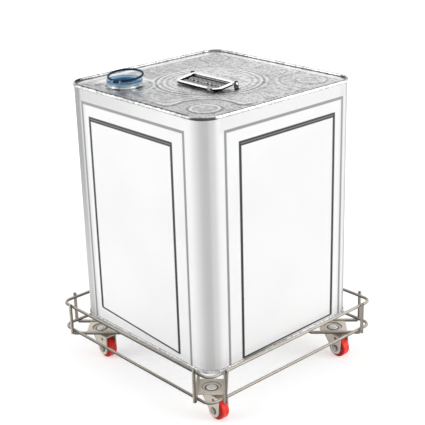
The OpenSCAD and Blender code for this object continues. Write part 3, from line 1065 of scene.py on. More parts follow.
    def turned(self, matrix: Matrix) -> "Shell":
        """Moves all that was gathered so far.

        Args:
            matrix: The turn and shift, in millimetres.

        Returns:
            This shell.
        """
        turn = np.array(matrix)
        self.points = [p @ turn[:3, :3].T + turn[:3, 3] for p in self.points]
        return self

    def join(self, other: "Shell") -> "Shell":
        """Takes in another shell's points and faces.

        Args:
            other: The other shell.

        Returns:
            This shell.
        """
        self.faces += [[i + self.count for i in face] for face in other.faces]
        for points, marks in zip(other.points, other.marks):
            self._add(points, marks)
        return self

    def build(self, name: str, sharp: float = 38.0, solid: float = 0.0) -> bpy.types.Object:
        """Makes the object.

        Args:
            name: The object's name.
            sharp: Edges that turn by more than this many degrees stay crisp.
            solid: Thickness that an open sheet is given, inwards, in millimetres.

        Returns:
            The object, at the origin.
        """
        mesh = bpy.data.meshes.new(name)
        mesh.from_pydata((np.concatenate(self.points) * MM).tolist(), [], self.faces)
        layer = mesh.attributes.new(MARK_LAYER, "FLOAT", "POINT")
        layer.data.foreach_set("value", np.concatenate(self.marks).astype(np.float32))
        work = bmesh.new()
        work.from_mesh(mesh)
        bmesh.ops.remove_doubles(work, verts=work.verts, dist=2e-6)
        bmesh.ops.dissolve_degenerate(work, edges=work.edges, dist=1e-7)
        bmesh.ops.recalc_face_normals(work, faces=work.faces)
        if solid:
            bmesh.ops.solidify(work, geom=work.faces[:], thickness=solid * MM)
            bmesh.ops.recalc_face_normals(work, faces=work.faces)
        work.to_mesh(mesh)
        work.free()
        mesh.polygons.foreach_set("use_smooth", np.ones(len(mesh.polygons), bool))
        mesh.set_sharp_from_angle(angle=math.radians(sharp))
        piece = bpy.data.objects.new(name, mesh)
        bpy.context.scene.collection.objects.link(piece)
        return piece


@dataclass
class Assembler:
    """Puts finished pieces on their bodies and keeps count of them."""

    palette: Palette
    made: int = 0

    def add(self, piece: bpy.types.Object, body: str, slot: Slot, *nodes: str) -> None:
        """Dresses a piece and puts it in its body's place.

        Args:
            piece: The finished object.
            body: The body that it rides on.
            slot: Its material slot.
            nodes: The construction solids that it stands for.
        """
        self.palette.paint(piece, slot)
        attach(piece, body)
        if nodes:
            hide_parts(*nodes)
        self.made += 1
        LOG.info("piece %s on %s, %d faces", piece.name, body, len(piece.data.polygons))

    def keep(self, frame: dict, node: str, slot: Slot) -> None:
        """Dresses a construction solid that is shown as it is."""
        self.palette.paint(frame["nodes"][node], slot)
        LOG.info("solid %s keeps its shape", node)


# ------------------------ the tin


@dataclass
class Tin:
    """The square tin: side wall, seams, lid, bottom and neck."""

    half: float = TIN_HALF
    corner: float = TIN_CORNER
    base: float = 59.0
    top: float = 358.0
    lid: float = 355.0
    floor: float = 63.0
    sheet: float = 0.5
    swell: float = 0.45
    waist: float = 0.25
    waist_reach: float = 1.6
    seam_height: float = 4.4
    seam_inner: float = -2.0
    seam_outer: float = 1.0
    seam_lap: float = 1.0
    fold_width: float = 6.0
    fold_raise: float = 0.62
    fold_sink: float = 0.35
    panel_half: float = 117.0
    panel_corner: float = 21.0
    spout: Pair = (-59.0, -79.0)
    spout_hole: float = 19.2
    spout_arc: float = 33.0
    mouth: float = 16.8
    lip: float = 1.2
    neck_height: float = 5.6
    foot: float = 22.5
    boss: float = 83.0
    boss_bead: float = 17.0
    boss_arc: float = 39.0
    boss_rise: float = 0.55
    boss_middle: float = 0.35
    plateau: float = 104.0
    plateau_rise: float = 0.3
    edge_rise: float = 0.4
    bead_width: float = 4.0
    bead_blend: float = 16.0
    ring_width: float = 3.2
    near_boss: Pair = (75.0, 45.0)
    bottom_bead: float = 59.0
    patch_highlight: float = 0.8
    ring_beads: tuple[Pair, ...] = ((47.5, 0.28), (54.5, 0.34), (61.5, 0.5), (68.0, 0.24))
    # weights of each boss's painted shade and highlight lines, strongest at the front right
    boss_shares: tuple[tuple[Corner, float], ...] = (
        (Corner.FRONT_RIGHT, 1.0),
        (Corner.BACK_RIGHT, 0.75),
        (Corner.BACK_LEFT, 0.55),
    )
    # lines of painted shade (above 0) and painted highlight (below 0) beside the lid's beads
    boss_lines: Lines = ((0.56, 1.9, 5.2), (-0.75, -1.6, 3.8), (0.2, -5.2, 4.0))
    edge_lines: Lines = ((0.6, -2.2, 5.2), (-0.75, 1.4, 4.0), (0.26, 6.5, 4.0), (-0.35, 9.6, 3.4))
    bead_lines: Lines = ((1.25, 1.9, 4.6), (-1.6, -1.3, 3.6))
    # painted shade (above 0) and painted highlight (below 0) of the top seam, one for each point of its
    # section
    seam_sides: tuple[tuple[float, ...], ...] = (
        (0.35, 0.35, 0.32, 0.26, 0.26, 0.4, 0.75, 0.95) + (1.0,) * 13,
        (0.4, 0.4, 0.3, -0.3, -0.7, -0.7, -0.4, 0.2, 0.6) + (0.8,) * 4 + (1.0,) * 8,
        (0.3,) * 8 + (0.45, 0.45, 0.5, 0.45, 0.1, -0.8) + (-0.95,) * 5 + (-0.8, 0.2),
        (0.3,) * 8 + (0.25, 0.2, 0.2, 0.15, -0.5, -0.9) + (-0.95,) * 6 + (-0.6,),
    )
    seam_tuck: tuple[float, ...] = (
        (0.5, 0.8, 0.92, 0.92, 0.92, 0.8, 0.6, 0.2, -0.4, -0.6, -0.4, 0.1) + (0.0,) * 9
    )
    seam_inside: tuple[float, ...] = (0.0,) * 16 + (1.0,) * 5
    seam_outline: tuple[float, ...] = (0.55,) * 7 + (0.3, 0.0, -0.5, -0.5, 0.0, 0.7) + (1.0,) * 8
    seam_patch: float = 0.62

    def wall(self) -> Shell:
        """The side wall.

        The outer face follows the rounded square, pushed out by up to half a millimetre as
        sin(pi u) * sin(pi v) over each flat side, and drawn in a little below and above the
        seams. The inner face is the same, one sheet thickness further in.

        Returns:
            A closed shell.
        """
        path, normal = rounded_square(self.half, self.corner, 12, 30)
        low = self.base + self.seam_height - self.seam_lap
        high = self.top - self.seam_height + self.seam_lap
        height = np.linspace(low, high, 60)
        share = (height - low) / (high - low)
        along = np.where(np.abs(normal[:, 0]) > np.abs(normal[:, 1]), path[:, 1], path[:, 0])
        swell = np.cos(np.pi * np.clip(along / (self.half - self.corner), -1.0, 1.0) / 2.0)
        swell = self.swell * (1.0 - np.abs(normal).min(axis=1) / math.sqrt(0.5)) * swell
        waist = np.exp(-(high - height) / self.waist_reach) + np.exp(-(height - low) / self.waist_reach)
        push = swell[:, None] * np.sin(np.pi * share) - self.waist * waist
        outer = path[:, None, :] + normal[:, None, :] * push[..., None]
        inner = outer - normal[:, None, :] * self.sheet
        both = np.concatenate([outer, inner[:, ::-1]], axis=1)
        return Shell().hoop(raised(both, np.concatenate([height, height[::-1]])))

    def section(self) -> Array:
        """The seam's section, (21, 2): its tuck, its half round edge and its inside.

        Returns:
            Distances outwards and heights up from the seam's closed edge.
        """
        middle = (self.seam_inner + self.seam_outer) / 2.0
        round_r = (self.seam_outer - self.seam_inner) / 2.0
        edge, low = self.seam_outer, -self.seam_height
        roll = arc((middle, -round_r), round_r, 0.0, 180.0, 13)
        tuck = [[0.15, low], [0.62, low + 0.1], [0.92, low + 0.5], [edge, -2.7], [edge, -2.3]]
        inside = [[self.seam_inner, -2.2], [self.seam_inner + 0.12, -2.8], [self.seam_inner, low]]
        return np.concatenate([tuck, roll, inside])

    def seam(self, upright: bool) -> Shell:
        """A double seam: a flat folded band with a round outer edge and a tucked lower edge.

        The section is carried round the rounded square: its first number goes outwards and its
        second up from the seam's closed edge.

        Args:
            upright: True for the top seam; the bottom seam is the same, turned over.

        Returns:
            A closed shell.
        """
        section = self.section()
        path, normal = rounded_square(self.half, self.corner, 14, 60)
        flat = path[:, None, :] + normal[:, None, :] * section[None, :, :1]
        rise = section[:, 1] + self.top if upright else self.base - section[:, 1]
        mark = self.seam_marks(normal) if upright else self.foot_marks(path, normal)
        return Shell().hoop(raised(flat, rise), mark)

    @staticmethod
    def into_bend(normal: Array, corner: Corner) -> Array:
        """How far into a corner's bend a normal points: sin 2a, and 0 at the other corners."""
        x_sign, y_sign = corner.value
        return 2.0 * x_sign * y_sign * normal[:, :1] * normal[:, 1:] * (x_sign * normal[:, :1] > 0.0)

    def seam_marks(self, normal: Array) -> Array:
        """The top seam's painted shade and painted highlight, from its tuck over its round edge to its
        inside.

        Each side of the tin has 21 marks, one for each point of the section. They blend round the bends by
        soft steps of the normals, and their painted shade breaks into dashes along the seam. They give way
        to painted shade on the tuck in the front bend, on the inside in the right bend and along the
        outline in the left bend, and to a patch of painted shade in the middle of the back bend.

        Args:
            normal: The seam path's outward normals, (n, 2).

        Returns:
            The marks, (n, 21).
        """
        run = np.arange(len(normal))[:, None]
        dash = 0.72 + 0.28 * np.sin(run * 1.9) * np.sin(run * 0.37)
        x, y = normal[:, :1], normal[:, 1:]
        weights = soft_step(np.concatenate([-y, x, y, -x], axis=1), 0.35, 0.8)
        weights = weights / np.maximum(weights.sum(-1, keepdims=True), 1e-6)
        mark = weights @ np.array(self.seam_sides)
        mark = np.where(mark > 0.0, mark * dash, mark)
        front_bend = soft_step(self.into_bend(normal, Corner.FRONT_RIGHT), 0.12, 0.35)
        right_bend = soft_step(self.into_bend(normal, Corner.BACK_RIGHT), 0.05, 0.3)
        left_bend = soft_step(self.into_bend(normal, Corner.FRONT_LEFT), 0.1, 0.5)
        back_bend = soft_step(self.into_bend(normal, Corner.BACK_LEFT), 0.72, 0.82)
        mark = blend(mark, np.array(self.seam_tuck), front_bend)
        mark = np.maximum(mark, np.array(self.seam_inside) * right_bend)
        mark = blend(mark, np.array(self.seam_outline), left_bend)
        return blend(mark, self.seam_patch, back_bend)

    def foot_marks(self, path: Array, normal: Array) -> Array:
        """The bottom seam's marks: a light painted shade, none in the front bend, with the right side's
        printed foot line on its outer face.

        The line's height runs evenly along Y, and a point is dark by a raised cosine of its
        distance from the line.

        Args:
            path: The seam's path, (n, 2).
            normal: Its outward normals, (n, 2).

        Returns:
            The marks, (n, 21).
        """
        x_normal, y = normal[:, :1], path[:, 1:]
        line = self.base + 2.6 + 0.02 * (y + self.half)
        dark = ridge(self.base - self.section()[:, 1] - line, 3.6) * (x_normal > 0.98)
        dark = dark * soft_step(y, -70.0, -64.0) * soft_step(y, 90.0, 60.0)
        # light painted shade on the seam, taken away in the front bend
        pale = 0.3 - 0.3 * soft_step(x_normal * -normal[:, 1:], 0.05, 0.3)
        return blend(pale, 0.9, dark)

    def panel_grid(self, count: int) -> tuple[Array, Array]:
        """A grid whose border is the rounded square.

        A point of the square grid is moved towards the border's curve by the factor that takes
        its ray's end from the square to the rounded corner, faded in by the eighth power of
        its distance from the middle.

        Args:
            count: Points along each side.

        Returns:
            The points, (count, count, 2), and how near each is to the border, from 0 to 1.
        """
        line = np.linspace(-1.0, 1.0, count)
        square = np.stack(np.meshgrid(line, line, indexing="ij"), -1)
        near = np.abs(square).max(-1)
        end = np.abs(square) / np.maximum(near, 1e-9)[..., None] * self.panel_half
        centre = self.panel_half - self.panel_corner
        dot = end.sum(-1) * centre
        length = (end**2).sum(-1)
        inside = dot**2 - length * (2.0 * centre**2 - self.panel_corner**2)
        factor = (dot + np.sqrt(np.maximum(inside, 0.0))) / length
        factor = np.where(end.min(-1) > centre, factor, 1.0)
        return square * self.panel_half * (1.0 + (factor - 1.0) * near**8)[..., None], near

    def bead_field(self, x: Array, y: Array) -> tuple[Array, Array]:
        """Height of the lid's pressed pattern, and its lines of painted shade and painted highlight.

        The middle has ring beads. A plateau fills the panel except near its border and round
        the corner bosses and the spout, and its edge is one flowing bead. The plateau's field
        is the rounded minimum of the distances to those borders.

        Args:
            x: Distance along X.
            y: Distance along Y.

        Returns:
            The height in millimetres and the mark: painted shade above 0 and painted highlight below 0.
        """
        radius = np.hypot(x, y)
        field = self.plateau - np.maximum(np.abs(x), np.abs(y))
        height, mark, strength = np.zeros((3,) + x.shape)
        for corner, share in self.boss_shares:
            away = np.hypot(x - corner.value[0] * self.boss, y - corner.value[1] * self.boss)
            field = soft_min(field, away - self.boss_arc, self.bead_blend)
            height = height + self.boss_rise * ridge(away - self.boss_bead, self.bead_width)
            height = height + self.boss_middle * soft_step(away, self.boss_bead, self.boss_bead - 4.0)
            mark = mark + share * ridges(away - self.boss_bead, self.boss_lines)
            strength = strength + share**2 * soft_step(away, *self.near_boss)
        dx, dy = x - self.spout[0], y - self.spout[1]
        spout = np.hypot(dx, dy)
        field = soft_min(field, spout - self.spout_arc, self.bead_blend)
        height = height + self.plateau_rise * soft_step(field, -1.2, 1.2)
        height = height + self.edge_rise * ridge(field, self.bead_width)
        strength = np.clip(strength + 0.55 * soft_step(spout, *self.near_boss), 0.3, 1.0)
        mark = mark + strength * ridges(field, self.edge_lines)
        inside = soft_step(field, 1.0, 4.0)
        for ring, tall in self.ring_beads:
            height = height + tall * ridge(radius - ring, self.ring_width) * inside
            mark = mark + tall * ridges(radius - ring, self.bead_lines) * inside
        height = height + 0.05 * np.sin(field / 2.4) * soft_step(field, 3.0, 12.0)
        clear = soft_step(spout, self.foot + 0.5, self.foot + 4.0)
        # a painted highlight patch round the spout's foot, on its side away from the front right
        behind = soft_step(-(dx * SHOWN_WAY[0] + dy * SHOWN_WAY[1]), 8.0, 26.0)
        patch = soft_step(spout, 44.0, 34.0) * soft_step(spout, self.foot, self.foot + 2.0)
        return height * clear, mark * clear - self.patch_highlight * behind * patch

    def lid_panel(self) -> Shell:
        """The pressed lid: the bead field on the rounded panel, with a small fillet at its border.

        Its border carries painted shade, lighter towards the far left, and a painted highlight band lies
        just inside its left and back edges.

        Returns:
            An open sheet with the spout's hole, thickened when it is built.
        """
        flat, near = self.panel_grid(236)
        x, y = flat[..., 0], flat[..., 1]
        height, mark = self.bead_field(x, y)
        rise = 0.9 * soft_step(near, 0.985, 1.0)
        fade = soft_step(near, 0.985, 0.975)
        # painted shade along the border, lighter towards the far left
        border = soft_step(near, 0.978, 0.986) * (0.8 + 0.2 * np.sin(x * 0.9) * np.sin(y * 0.7))
        far_left = soft_step(-x, 96.0, 112.0)
        rim = border * (0.98 - far_left * (0.4 - 0.4 * soft_step(-y, 80.0, 100.0)))
        # a painted highlight band inside the left and back edges
        band = soft_step(-x, self.plateau, self.plateau + 2.0)
        band = np.clip(band + soft_step(y, self.plateau + 2.0, self.plateau + 4.0), 0.0, 1.0)
        mark = np.where(border > 0.05, rim, mark * fade - 0.85 * band * (1.0 - border))
        middle = (flat[:-1, :-1] + flat[1:, 1:]) / 2.0 - np.array(self.spout)
        keep = np.hypot(middle[..., 0], middle[..., 1]) > self.spout_hole
        return Shell().grid(raised(flat, self.lid + height * fade + rise), mark, keep=keep)

    def bottom_panel(self) -> Shell:
        """The bottom: a plain panel with one ring bead, a raised cosine, that stands into the tin.

        Returns:
            An open sheet, thickened when it is built.
        """
        flat, near = self.panel_grid(121)
        away = np.hypot(flat[..., 0], flat[..., 1]) - self.bottom_bead
        height = 0.6 * ridge(away, 5.0) + 0.5 * soft_step(near, 0.98, 1.0) + self.sheet
        # painted shade beside the ring bead
        return Shell().grid(raised(flat, self.floor + height), 0.6 * ridge(away - 2.0, 3.0))

    def side_seam(self) -> Shell:
        """The locked side seam: a flat fold with rounded edges down the left side.

        Returns:
            A closed shell.
        """
        y_low = self.half - self.corner - 2.0 * self.fold_width
        low = (-self.half - self.fold_raise, y_low, self.base + self.seam_height)
        high = (-self.half + self.fold_sink, y_low + self.fold_width, self.top - self.seam_height)
        return Shell().box(low, high, 0.25)

    def neck(self) -> Shell:
        """The spout's neck: a flat foot, a short waist and a lip rolled outwards.

        Its profile is turned about the spout's axis, with painted reflections: painted shade with dark
        streaks round the foot, and a painted highlight on the waist and lip.

        Returns:
            A closed shell.
        """
        waist = self.mouth + 2.0 * self.lip + 0.5
        brim = self.foot - 0.3
        profile = np.concatenate(
            [
                [[self.mouth, -self.sheet], [brim, 0.05], [self.foot, 0.2], [brim, 0.5]],
                arc((waist, 1.7), 1.2, 270.0, 180.0, 6),
                arc((self.mouth + self.lip, self.neck_height - self.lip), self.lip, -35.0, 180.0, 16),
            ]
        )
        angle = full_turn(96)[:, None]
        # painted reflections: dark streaks round the foot, a painted highlight above it
        streak = soft_step(np.sin(5.0 * angle + 0.6) + 0.6 * np.sin(3.0 * angle), 0.2, 0.9)
        plain = np.array((0.2, 0.3, 0.3, 0.2, 0.1, -0.2, -0.5) + (-0.8,) * 3 + (-0.5,) * 16)
        near_foot = np.arange(len(plain)) < 9
        mark = np.clip(plain + 0.9 * streak * near_foot, -0.95, 0.9)
        return Shell().lathe(profile, (*self.spout, self.lid), 96, mark)

    def build(self, crew: Assembler) -> None:
        """Makes the tin's pieces.

        Args:
            crew: Puts each piece in its place.
        """
        body, white, bright = Body.TIN.value, Slot.WHITE_TINPLATE, Slot.BRIGHT_TINPLATE
        crew.add(self.wall().build("side_wall"), body, white, "tin_body")
        crew.add(self.side_seam().build("side_seam_fold"), body, white, "side_seam")
        crew.add(self.seam(True).build("top_double_seam", 50.0), body, bright, "top_seam")
        crew.add(self.seam(False).build("bottom_double_seam", 50.0), body, bright, "bottom_seam")
        lid = self.lid_panel().build("pressed_lid", 60.0, self.sheet)
        crew.add(lid, body, bright, "lid_panel")
        bottom = self.bottom_panel().build("pressed_bottom", 60.0, self.sheet)
        crew.add(bottom, body, bright, "bottom_panel")
        crew.add(self.neck().build("rolled_neck", 50.0), body, bright, "spout_neck")


@dataclass
class LidHandle:
    """The folding handle on the lid, with its ears and lift tab."""

    x: float = 12.0
    y: float = -4.5
    pivot: float = 361.8
    lid: float = Tin.lid
    length: float = 68.0
    depth: float = 28.0
    wire: float = 2.1
    bend: float = 6.0
    web: float = 1.2
    web_gap: float = 2.4
    web_sag: float = 0.4
    clear: float = 0.1
    bead: float = 0.6
    sheet: float = Tin.sheet
    ear: float = 1.2
    ear_width: float = 6.0
    ear_bend: float = 2.2
    ear_gap: float = 0.3
    pin: float = 1.5
    tab_width: float = 6.0
    slots: int = 10
    slot_depth: float = 1.3
    slot_rows: tuple[Triple, ...] = ((0.21, 4.4, 2.9), (0.6, 3.0, 2.3))

    @property
    def tilt(self) -> float:
        """How far the handle leans down from its pivot to its free edge, in radians."""
        free = self.wire + self.sheet + self.bead + self.clear
        return math.asin((self.pivot - self.lid - free) / self.depth)

    @property
    def at_pivot(self) -> Matrix:
        """Takes the handle's own frame, with its free edge towards -Y, to its pivot."""
        return Matrix.Translation((self.x, self.y, self.pivot)) @ Matrix.Rotation(self.tilt, 4, "X")

    def loop(self) -> Array:
        """The middle of the rolled edges: a rounded rectangle from the pivot to the free edge.

        Returns:
            The points, (n, 3).
        """
        square, normal = rounded_square(1.0, 0.5, 9, 0)
        reach = np.array([self.length, self.depth]) / 2.0 - self.bend
        flat = np.sign(square) * reach + normal * self.bend
        return raised(flat - np.array([0.0, self.depth / 2.0]), 0.0)

    def web_sheet(self) -> Shell:
        """The web between the rolled edges, with two rows of deep pressed slots, under painted shade that
        is full in the slots, at its sunken ends and underneath.

        Its height drops by a soft rectangle at each slot: the product of a ramp across and a
        ramp along, repeated with the slots' pitch.

        Returns:
            A closed shell.
        """
        half = self.length / 2.0 - self.wire - self.web_gap
        edge = self.length / 2.0 - 0.8
        x = np.linspace(-edge, edge, 220)[:, None]
        y = np.linspace(-self.depth, 0.0, 72)[None, :]
        pitch = 2.0 * half / self.slots
        phase = np.abs((x + half) % pitch - pitch / 2.0)
        hole = np.zeros((x.size, y.size))
        for row, wide, long in self.slot_rows:
            across = soft_step(np.abs(y + self.depth * row), wide * 0.5 + 0.7, wide * 0.5)
            hole = np.maximum(hole, across * soft_step(phase, long + 0.5, long))
        middle = self.depth / 2.0
        inner = soft_step(np.abs(y + middle), middle - 2.6, middle - 3.2)
        end = soft_step(np.abs(x), half - 2.2, half - 1.4) * inner
        hole = np.maximum(hole * soft_step(np.abs(x), half - 1.0, half - 1.5), end)
        sag = self.web_sag * np.sin(np.pi * (y + self.depth) / self.depth)
        upper = xyz(x, y, self.web / 2.0 - sag - self.slot_depth * hole)
        both = np.concatenate([upper, upper[:, ::-1] - UP * self.web], axis=1)
        # painted shade over the web: lighter on top, full in the slots, at the sunken ends and underneath
        plain = 0.84 + 0.12 * np.sin(x * 0.8) * np.sin(y * 0.9)
        mark = np.concatenate([np.maximum(plain, hole), np.ones_like(hole)], axis=1)
        return Shell().loft(both, np.clip(mark, 0.0, 1.0))

    def strap(self) -> Shell:
        """The rolled edges, the web between them and the two pivot pins.

        Returns:
            A closed shell.
        """
        # painted shade on the rolled edges where they face down and to the front
        tone = Tone((0.6, -0.75, -0.6), start=0.2, end=0.38, dark=1.0)
        shell = Shell().tube(self.loop(), self.wire, UP, 32, tone, closed=True)
        shell.join(self.web_sheet())
        start = self.length / 2.0
        reach = start + self.wire + self.ear_gap + self.ear + self.pin
        size = np.append(np.full(7, self.pin), self.pin * 0.7)
        for side in (-1.0, 1.0):
            shell.tube(xyz(np.linspace(side * start, side * reach, 8), 0.0, 0.0), size, UP, 16)
        return shell.turned(self.at_pivot)

    def tab(self) -> Shell:
        """The lift tab: a strip curled three quarters round the free edge, with a lip to pull on.

        Its section is an arc about the free edge that runs into a short straight lip, given a
        thickness and carried along the edge.

        Returns:
            A closed shell.
        """
        outside = arc((0.0, 0.0), self.wire + self.sheet, 0.0, -250.0, 22)
        inside = arc((0.0, 0.0), self.wire, -250.0, 0.0, 22)
        section = np.concatenate([outside, [[-5.0, 2.3], [-5.0, 1.8]], inside])
        x = np.linspace(0.0, self.tab_width, 7) + self.length / 2.0 - self.bend - self.tab_width
        rows = xyz(x[:, None], section[:, 0] - self.depth, section[:, 1])
        return Shell().loft(rows).turned(self.at_pivot)

    def ears(self) -> Shell:
        """Two angle brackets: an upright with a round head, and a foot that is welded to the lid.

        The section is an L with a bent corner, and its width follows the half circle of the head.

        Returns:
            A closed shell.
        """
        shell = Shell()
        inside = self.length / 2.0 + self.wire + self.ear_gap
        height = self.pivot - self.lid
        half, bend = self.ear_width / 2.0, self.ear_bend
        foot = np.stack([np.linspace(self.ear_width, bend, 6), np.zeros(6)], -1)
        rise = np.stack([np.zeros(18), np.linspace(bend, height + half * 0.999, 18)], -1)
        run = np.concatenate([foot, arc((bend, bend), bend, 270.0, 180.0, 6), rise])
        head = np.sqrt(np.maximum(half**2 - np.maximum(run[:, 1] - height, 0.0) ** 2, 0.05))
        toe = np.maximum(run[:, 0] - self.ear_width + 2.0, 0.0)
        toe = np.sqrt(np.maximum(half**2 - 2.0 * toe**2, 0.1))
        width = np.minimum(head, toe)[:, None]
        top = xyz(run[:, :1], width * np.linspace(-1.0, 1.0, 13), run[:, 1:])
        tangent = np.gradient(run, axis=0)
        tangent = tangent / np.linalg.norm(tangent, axis=1, keepdims=True)
        thick = xyz(tangent[:, 1:], 0.0, -tangent[:, :1]) * self.ear
        both = np.concatenate([top, top[:, ::-1] + thick], axis=1) + np.array([inside, 0.0, 0.0])
        for side in (-1.0, 1.0):
            place = np.array([self.x, self.y, self.lid])
            # painted shade: the ears are dark all over
            shell.loft(both * np.array([side, 1.0, 1.0]) + place, 0.96)
        return shell

    def build(self, crew: Assembler) -> None:
        """Makes the handle's pieces.

        Args:
            crew: Puts each piece in its place.
        """
        strap = self.strap().build("handle_frame", 45.0)
        crew.add(strap, Body.HANDLE.value, Slot.HANDLE_STEEL, "handle_strap")
        crew.add(self.tab().build("handle_lift_tab"), Body.HANDLE.value, Slot.BOLT_STEEL, "lift_tab")
        crew.add(self.ears().build("pivot_ears"), Body.TIN.value, Slot.BRIGHT_TINPLATE, "handle_ears")


@dataclass
class SpoutCap:
    """The push-in cap with its pull ring."""

    x: float = Tin.spout[0]
    y: float = Tin.spout[1]
    low: float = 360.7
    radius: float = 21.0
    wall: float = 1.5
    skirt: float = 3.0
    plug: float = 16.5
    plug_depth: float = 10.0
    cup_depth: float = 4.5
    rim: float = 0.8
    ring_radius: float = 20.0
    ring_wire: float = 1.3
    ring_tilt: float = 6.0
    ring_way: float = -65.0
    ring_neck: float = 3.2
    hinge_reach: float = 19.8
    hinge_gap: float = 0.1
    barrel: float = 7.0
    lug: float = 1.6
    lug_radius: float = 1.6
    side_gap: float = 0.3
    soft_ends: tuple[float, ...] = (0.88, 1.0, 1.0, 0.88)
    # painted shade (above 0) and painted highlight (below 0) for each point of the cap's profile: the
    # skirt, then the rest towards the front right and behind
    skirt_marks: tuple[float, ...] = (-0.9, -0.9, -0.85, -0.6)
    near_marks: tuple[float, ...] = (
        (0.5, 0.8, 0.9, 0.9, 0.8, 0.5, 0.1, -0.2, -0.4, -0.4, -0.3, -0.35, -0.1, 0.2, 0.6)
        + (0.8,) * 3
        + (0.9,) * 8
    )
    far_marks: tuple[float, ...] = (
        (-0.5,) * 11 + (-0.6, -0.5, -0.5, -0.45, -0.4, -0.35, 0.3) + (0.9,) * 8
    )

    @property
    def top(self) -> float:
        """Height of the flange's top."""
        return self.low + self.wall

    @property
    def hinge_rise(self) -> float:
        """Height of the ring's pin above the flange."""
        return self.rim + self.ring_wire + self.hinge_gap

    @property
    def at_hinge(self) -> Matrix:
        """Takes the ring's own frame to its hinge: X along the pin, Y towards the cap's middle.

        Returns:
            The matrix.
        """
        turn = Matrix.Rotation(math.radians(self.ring_way + 90.0), 4, "Z")
        reach = Matrix.Translation((0.0, -self.hinge_reach, self.top + self.hinge_rise))
        return Matrix.Translation((self.x, self.y, 0.0)) @ turn @ reach

    def cap(self) -> Shell:
        """The cap's body: skirt, raised rim, flange, cup and plug in one loop about its axis.

        Returns:
            A closed shell.
        """
        t, cup = self.wall, self.plug - self.wall
        base = self.top - self.skirt
        floor = self.top - self.cup_depth
        foot = self.top - self.plug_depth
        shown = np.concatenate(
            [
                [[self.radius - t, base], [self.radius - 0.3, base]],
                [[self.radius, base + 0.3], [self.radius, base + 1.3]],
                arc((self.radius - t / 2.0, self.top + self.rim - t / 2.0), t / 2.0, 0.0, 180.0, 11),
                [[self.radius - t - 0.2, self.top + 0.1], [cup + 0.8, self.top]],
                arc((cup + 0.6, self.top - 0.6), 0.6, 90.0, 180.0, 4),
                [[cup - 0.05, floor + 0.9]],
                arc((cup - 0.9, floor + 0.85), 0.85, 0.0, -90.0, 5),
                [[7.0, floor], [6.2, floor + 0.5], [0.0, floor + 0.6]],
            ]
        )
        hidden = [
            *([0.0, floor - t], [cup - 0.2, floor - t], [cup, floor - t - 0.4], [cup + 0.3, foot]),
            *([self.plug - 0.35, foot], [self.plug, foot + 0.8], [self.plug - 0.15, self.top - 6.0]),
            *([self.plug, self.low - 0.6], [self.plug, self.low], [self.radius - t, self.low]),
        ]
        profile = np.concatenate([shown, hidden])
        return Shell().lathe(profile, (self.x, self.y, 0.0), 96, self.cap_marks(96, len(hidden)))

    def cap_marks(self, segments: int, hidden: int) -> Array:
        """The cap's painted shade and painted highlight round its axis, for each point of its profile.

        The half towards the front right has one set of marks and the half behind another, and
        a soft step of the cosine from that direction blends them.

        Args:
            segments: Steps around the cap.
            hidden: How many points lie under the cap.

        Returns:
            The marks, (segments, points).
        """
        towards = spokes(full_turn(segments)) @ np.array(SHOWN_WAY)
        share = soft_step(towards, -0.3, 0.5)[:, None]
        near, far = (np.array(self.skirt_marks + marks) for marks in (self.near_marks, self.far_marks))
        return np.concatenate([blend(far, near, share), np.zeros((segments, hidden))], axis=1)

    def lugs(self) -> Shell:
        """Two cheeks that hold the ring's pin: rounded blocks that flow into the flange.

        Each is a half round over a straight foot, carried along the pin and drawn in at its ends.

        Returns:
            A closed shell.
        """
        shell = Shell()
        start = self.barrel / 2.0 + self.side_gap
        dome = self.lug_radius * spokes(np.linspace(0.0, np.pi, 12))
        foot = [[-self.lug_radius, -self.hinge_rise], [self.lug_radius, -self.hinge_rise]]
        y, z = np.concatenate([dome, foot]).T
        inset = np.array(self.soft_ends)[:, None]
        for side in (-1.0, 1.0):
            near, far = sorted((side * start, side * (start + self.lug)))
            x = np.array([near, near + 0.25, far - 0.25, far])[:, None]
            shell.loft(xyz(x, y * inset, np.where(z > 0, z * inset, z)))
        return shell.turned(self.at_hinge)

    def ring(self) -> Shell:
        """The pull ring: a wire ring, a short bridge and a barrel at its hinge.

        The wire's middle is a circle past the bridge, and the barrel is a short tube along the
        pin with rounded ends.

        Returns:
            A closed shell.
        """
        flat = self.ring_radius * spokes(full_turn(96) - np.pi / 2.0)
        flat = flat + np.array([0.0, self.ring_neck + self.ring_radius])
        # a painted highlight on the ring's underside and a little painted shade on its top
        tone = Tone((0.0, 0.0, 1.0), start=-0.35, end=0.1, dark=0.5, bright=1.0)
        shell = Shell().tube(raised(flat, 0.0), self.ring_wire, UP, 24, tone, closed=True)
        half, thick = self.barrel / 2.0, self.ring_wire * 2.0 / 3.0
        shell.join(Shell().box((-half, 0.0, -thick), (half, self.ring_neck, thick), 0.4))
        x = np.array([-half, -half + 0.2, half - 0.2, half])
        shell.tube(xyz(x, 0.0, 0.0), np.array(self.soft_ends) * self.ring_wire, UP, 16)
        return shell.turned(self.at_hinge @ Matrix.Rotation(math.radians(self.ring_tilt), 4, "X"))

    def build(self, crew: Assembler) -> None:
        """Makes the cap's pieces.

        Args:
            crew: Puts each piece in its place.
        """
        cap = self.cap().join(self.lugs())
        crew.add(cap.build("push_in_cap", 50.0), Body.SPOUT_CAP.value, Slot.BLUE_PLASTIC, "cap")
        crew.add(self.ring().build("cap_pull_ring"), Body.RING.value, Slot.DARK_BLUE_PLASTIC, "pull_ring")


# ------------------------ the trolley


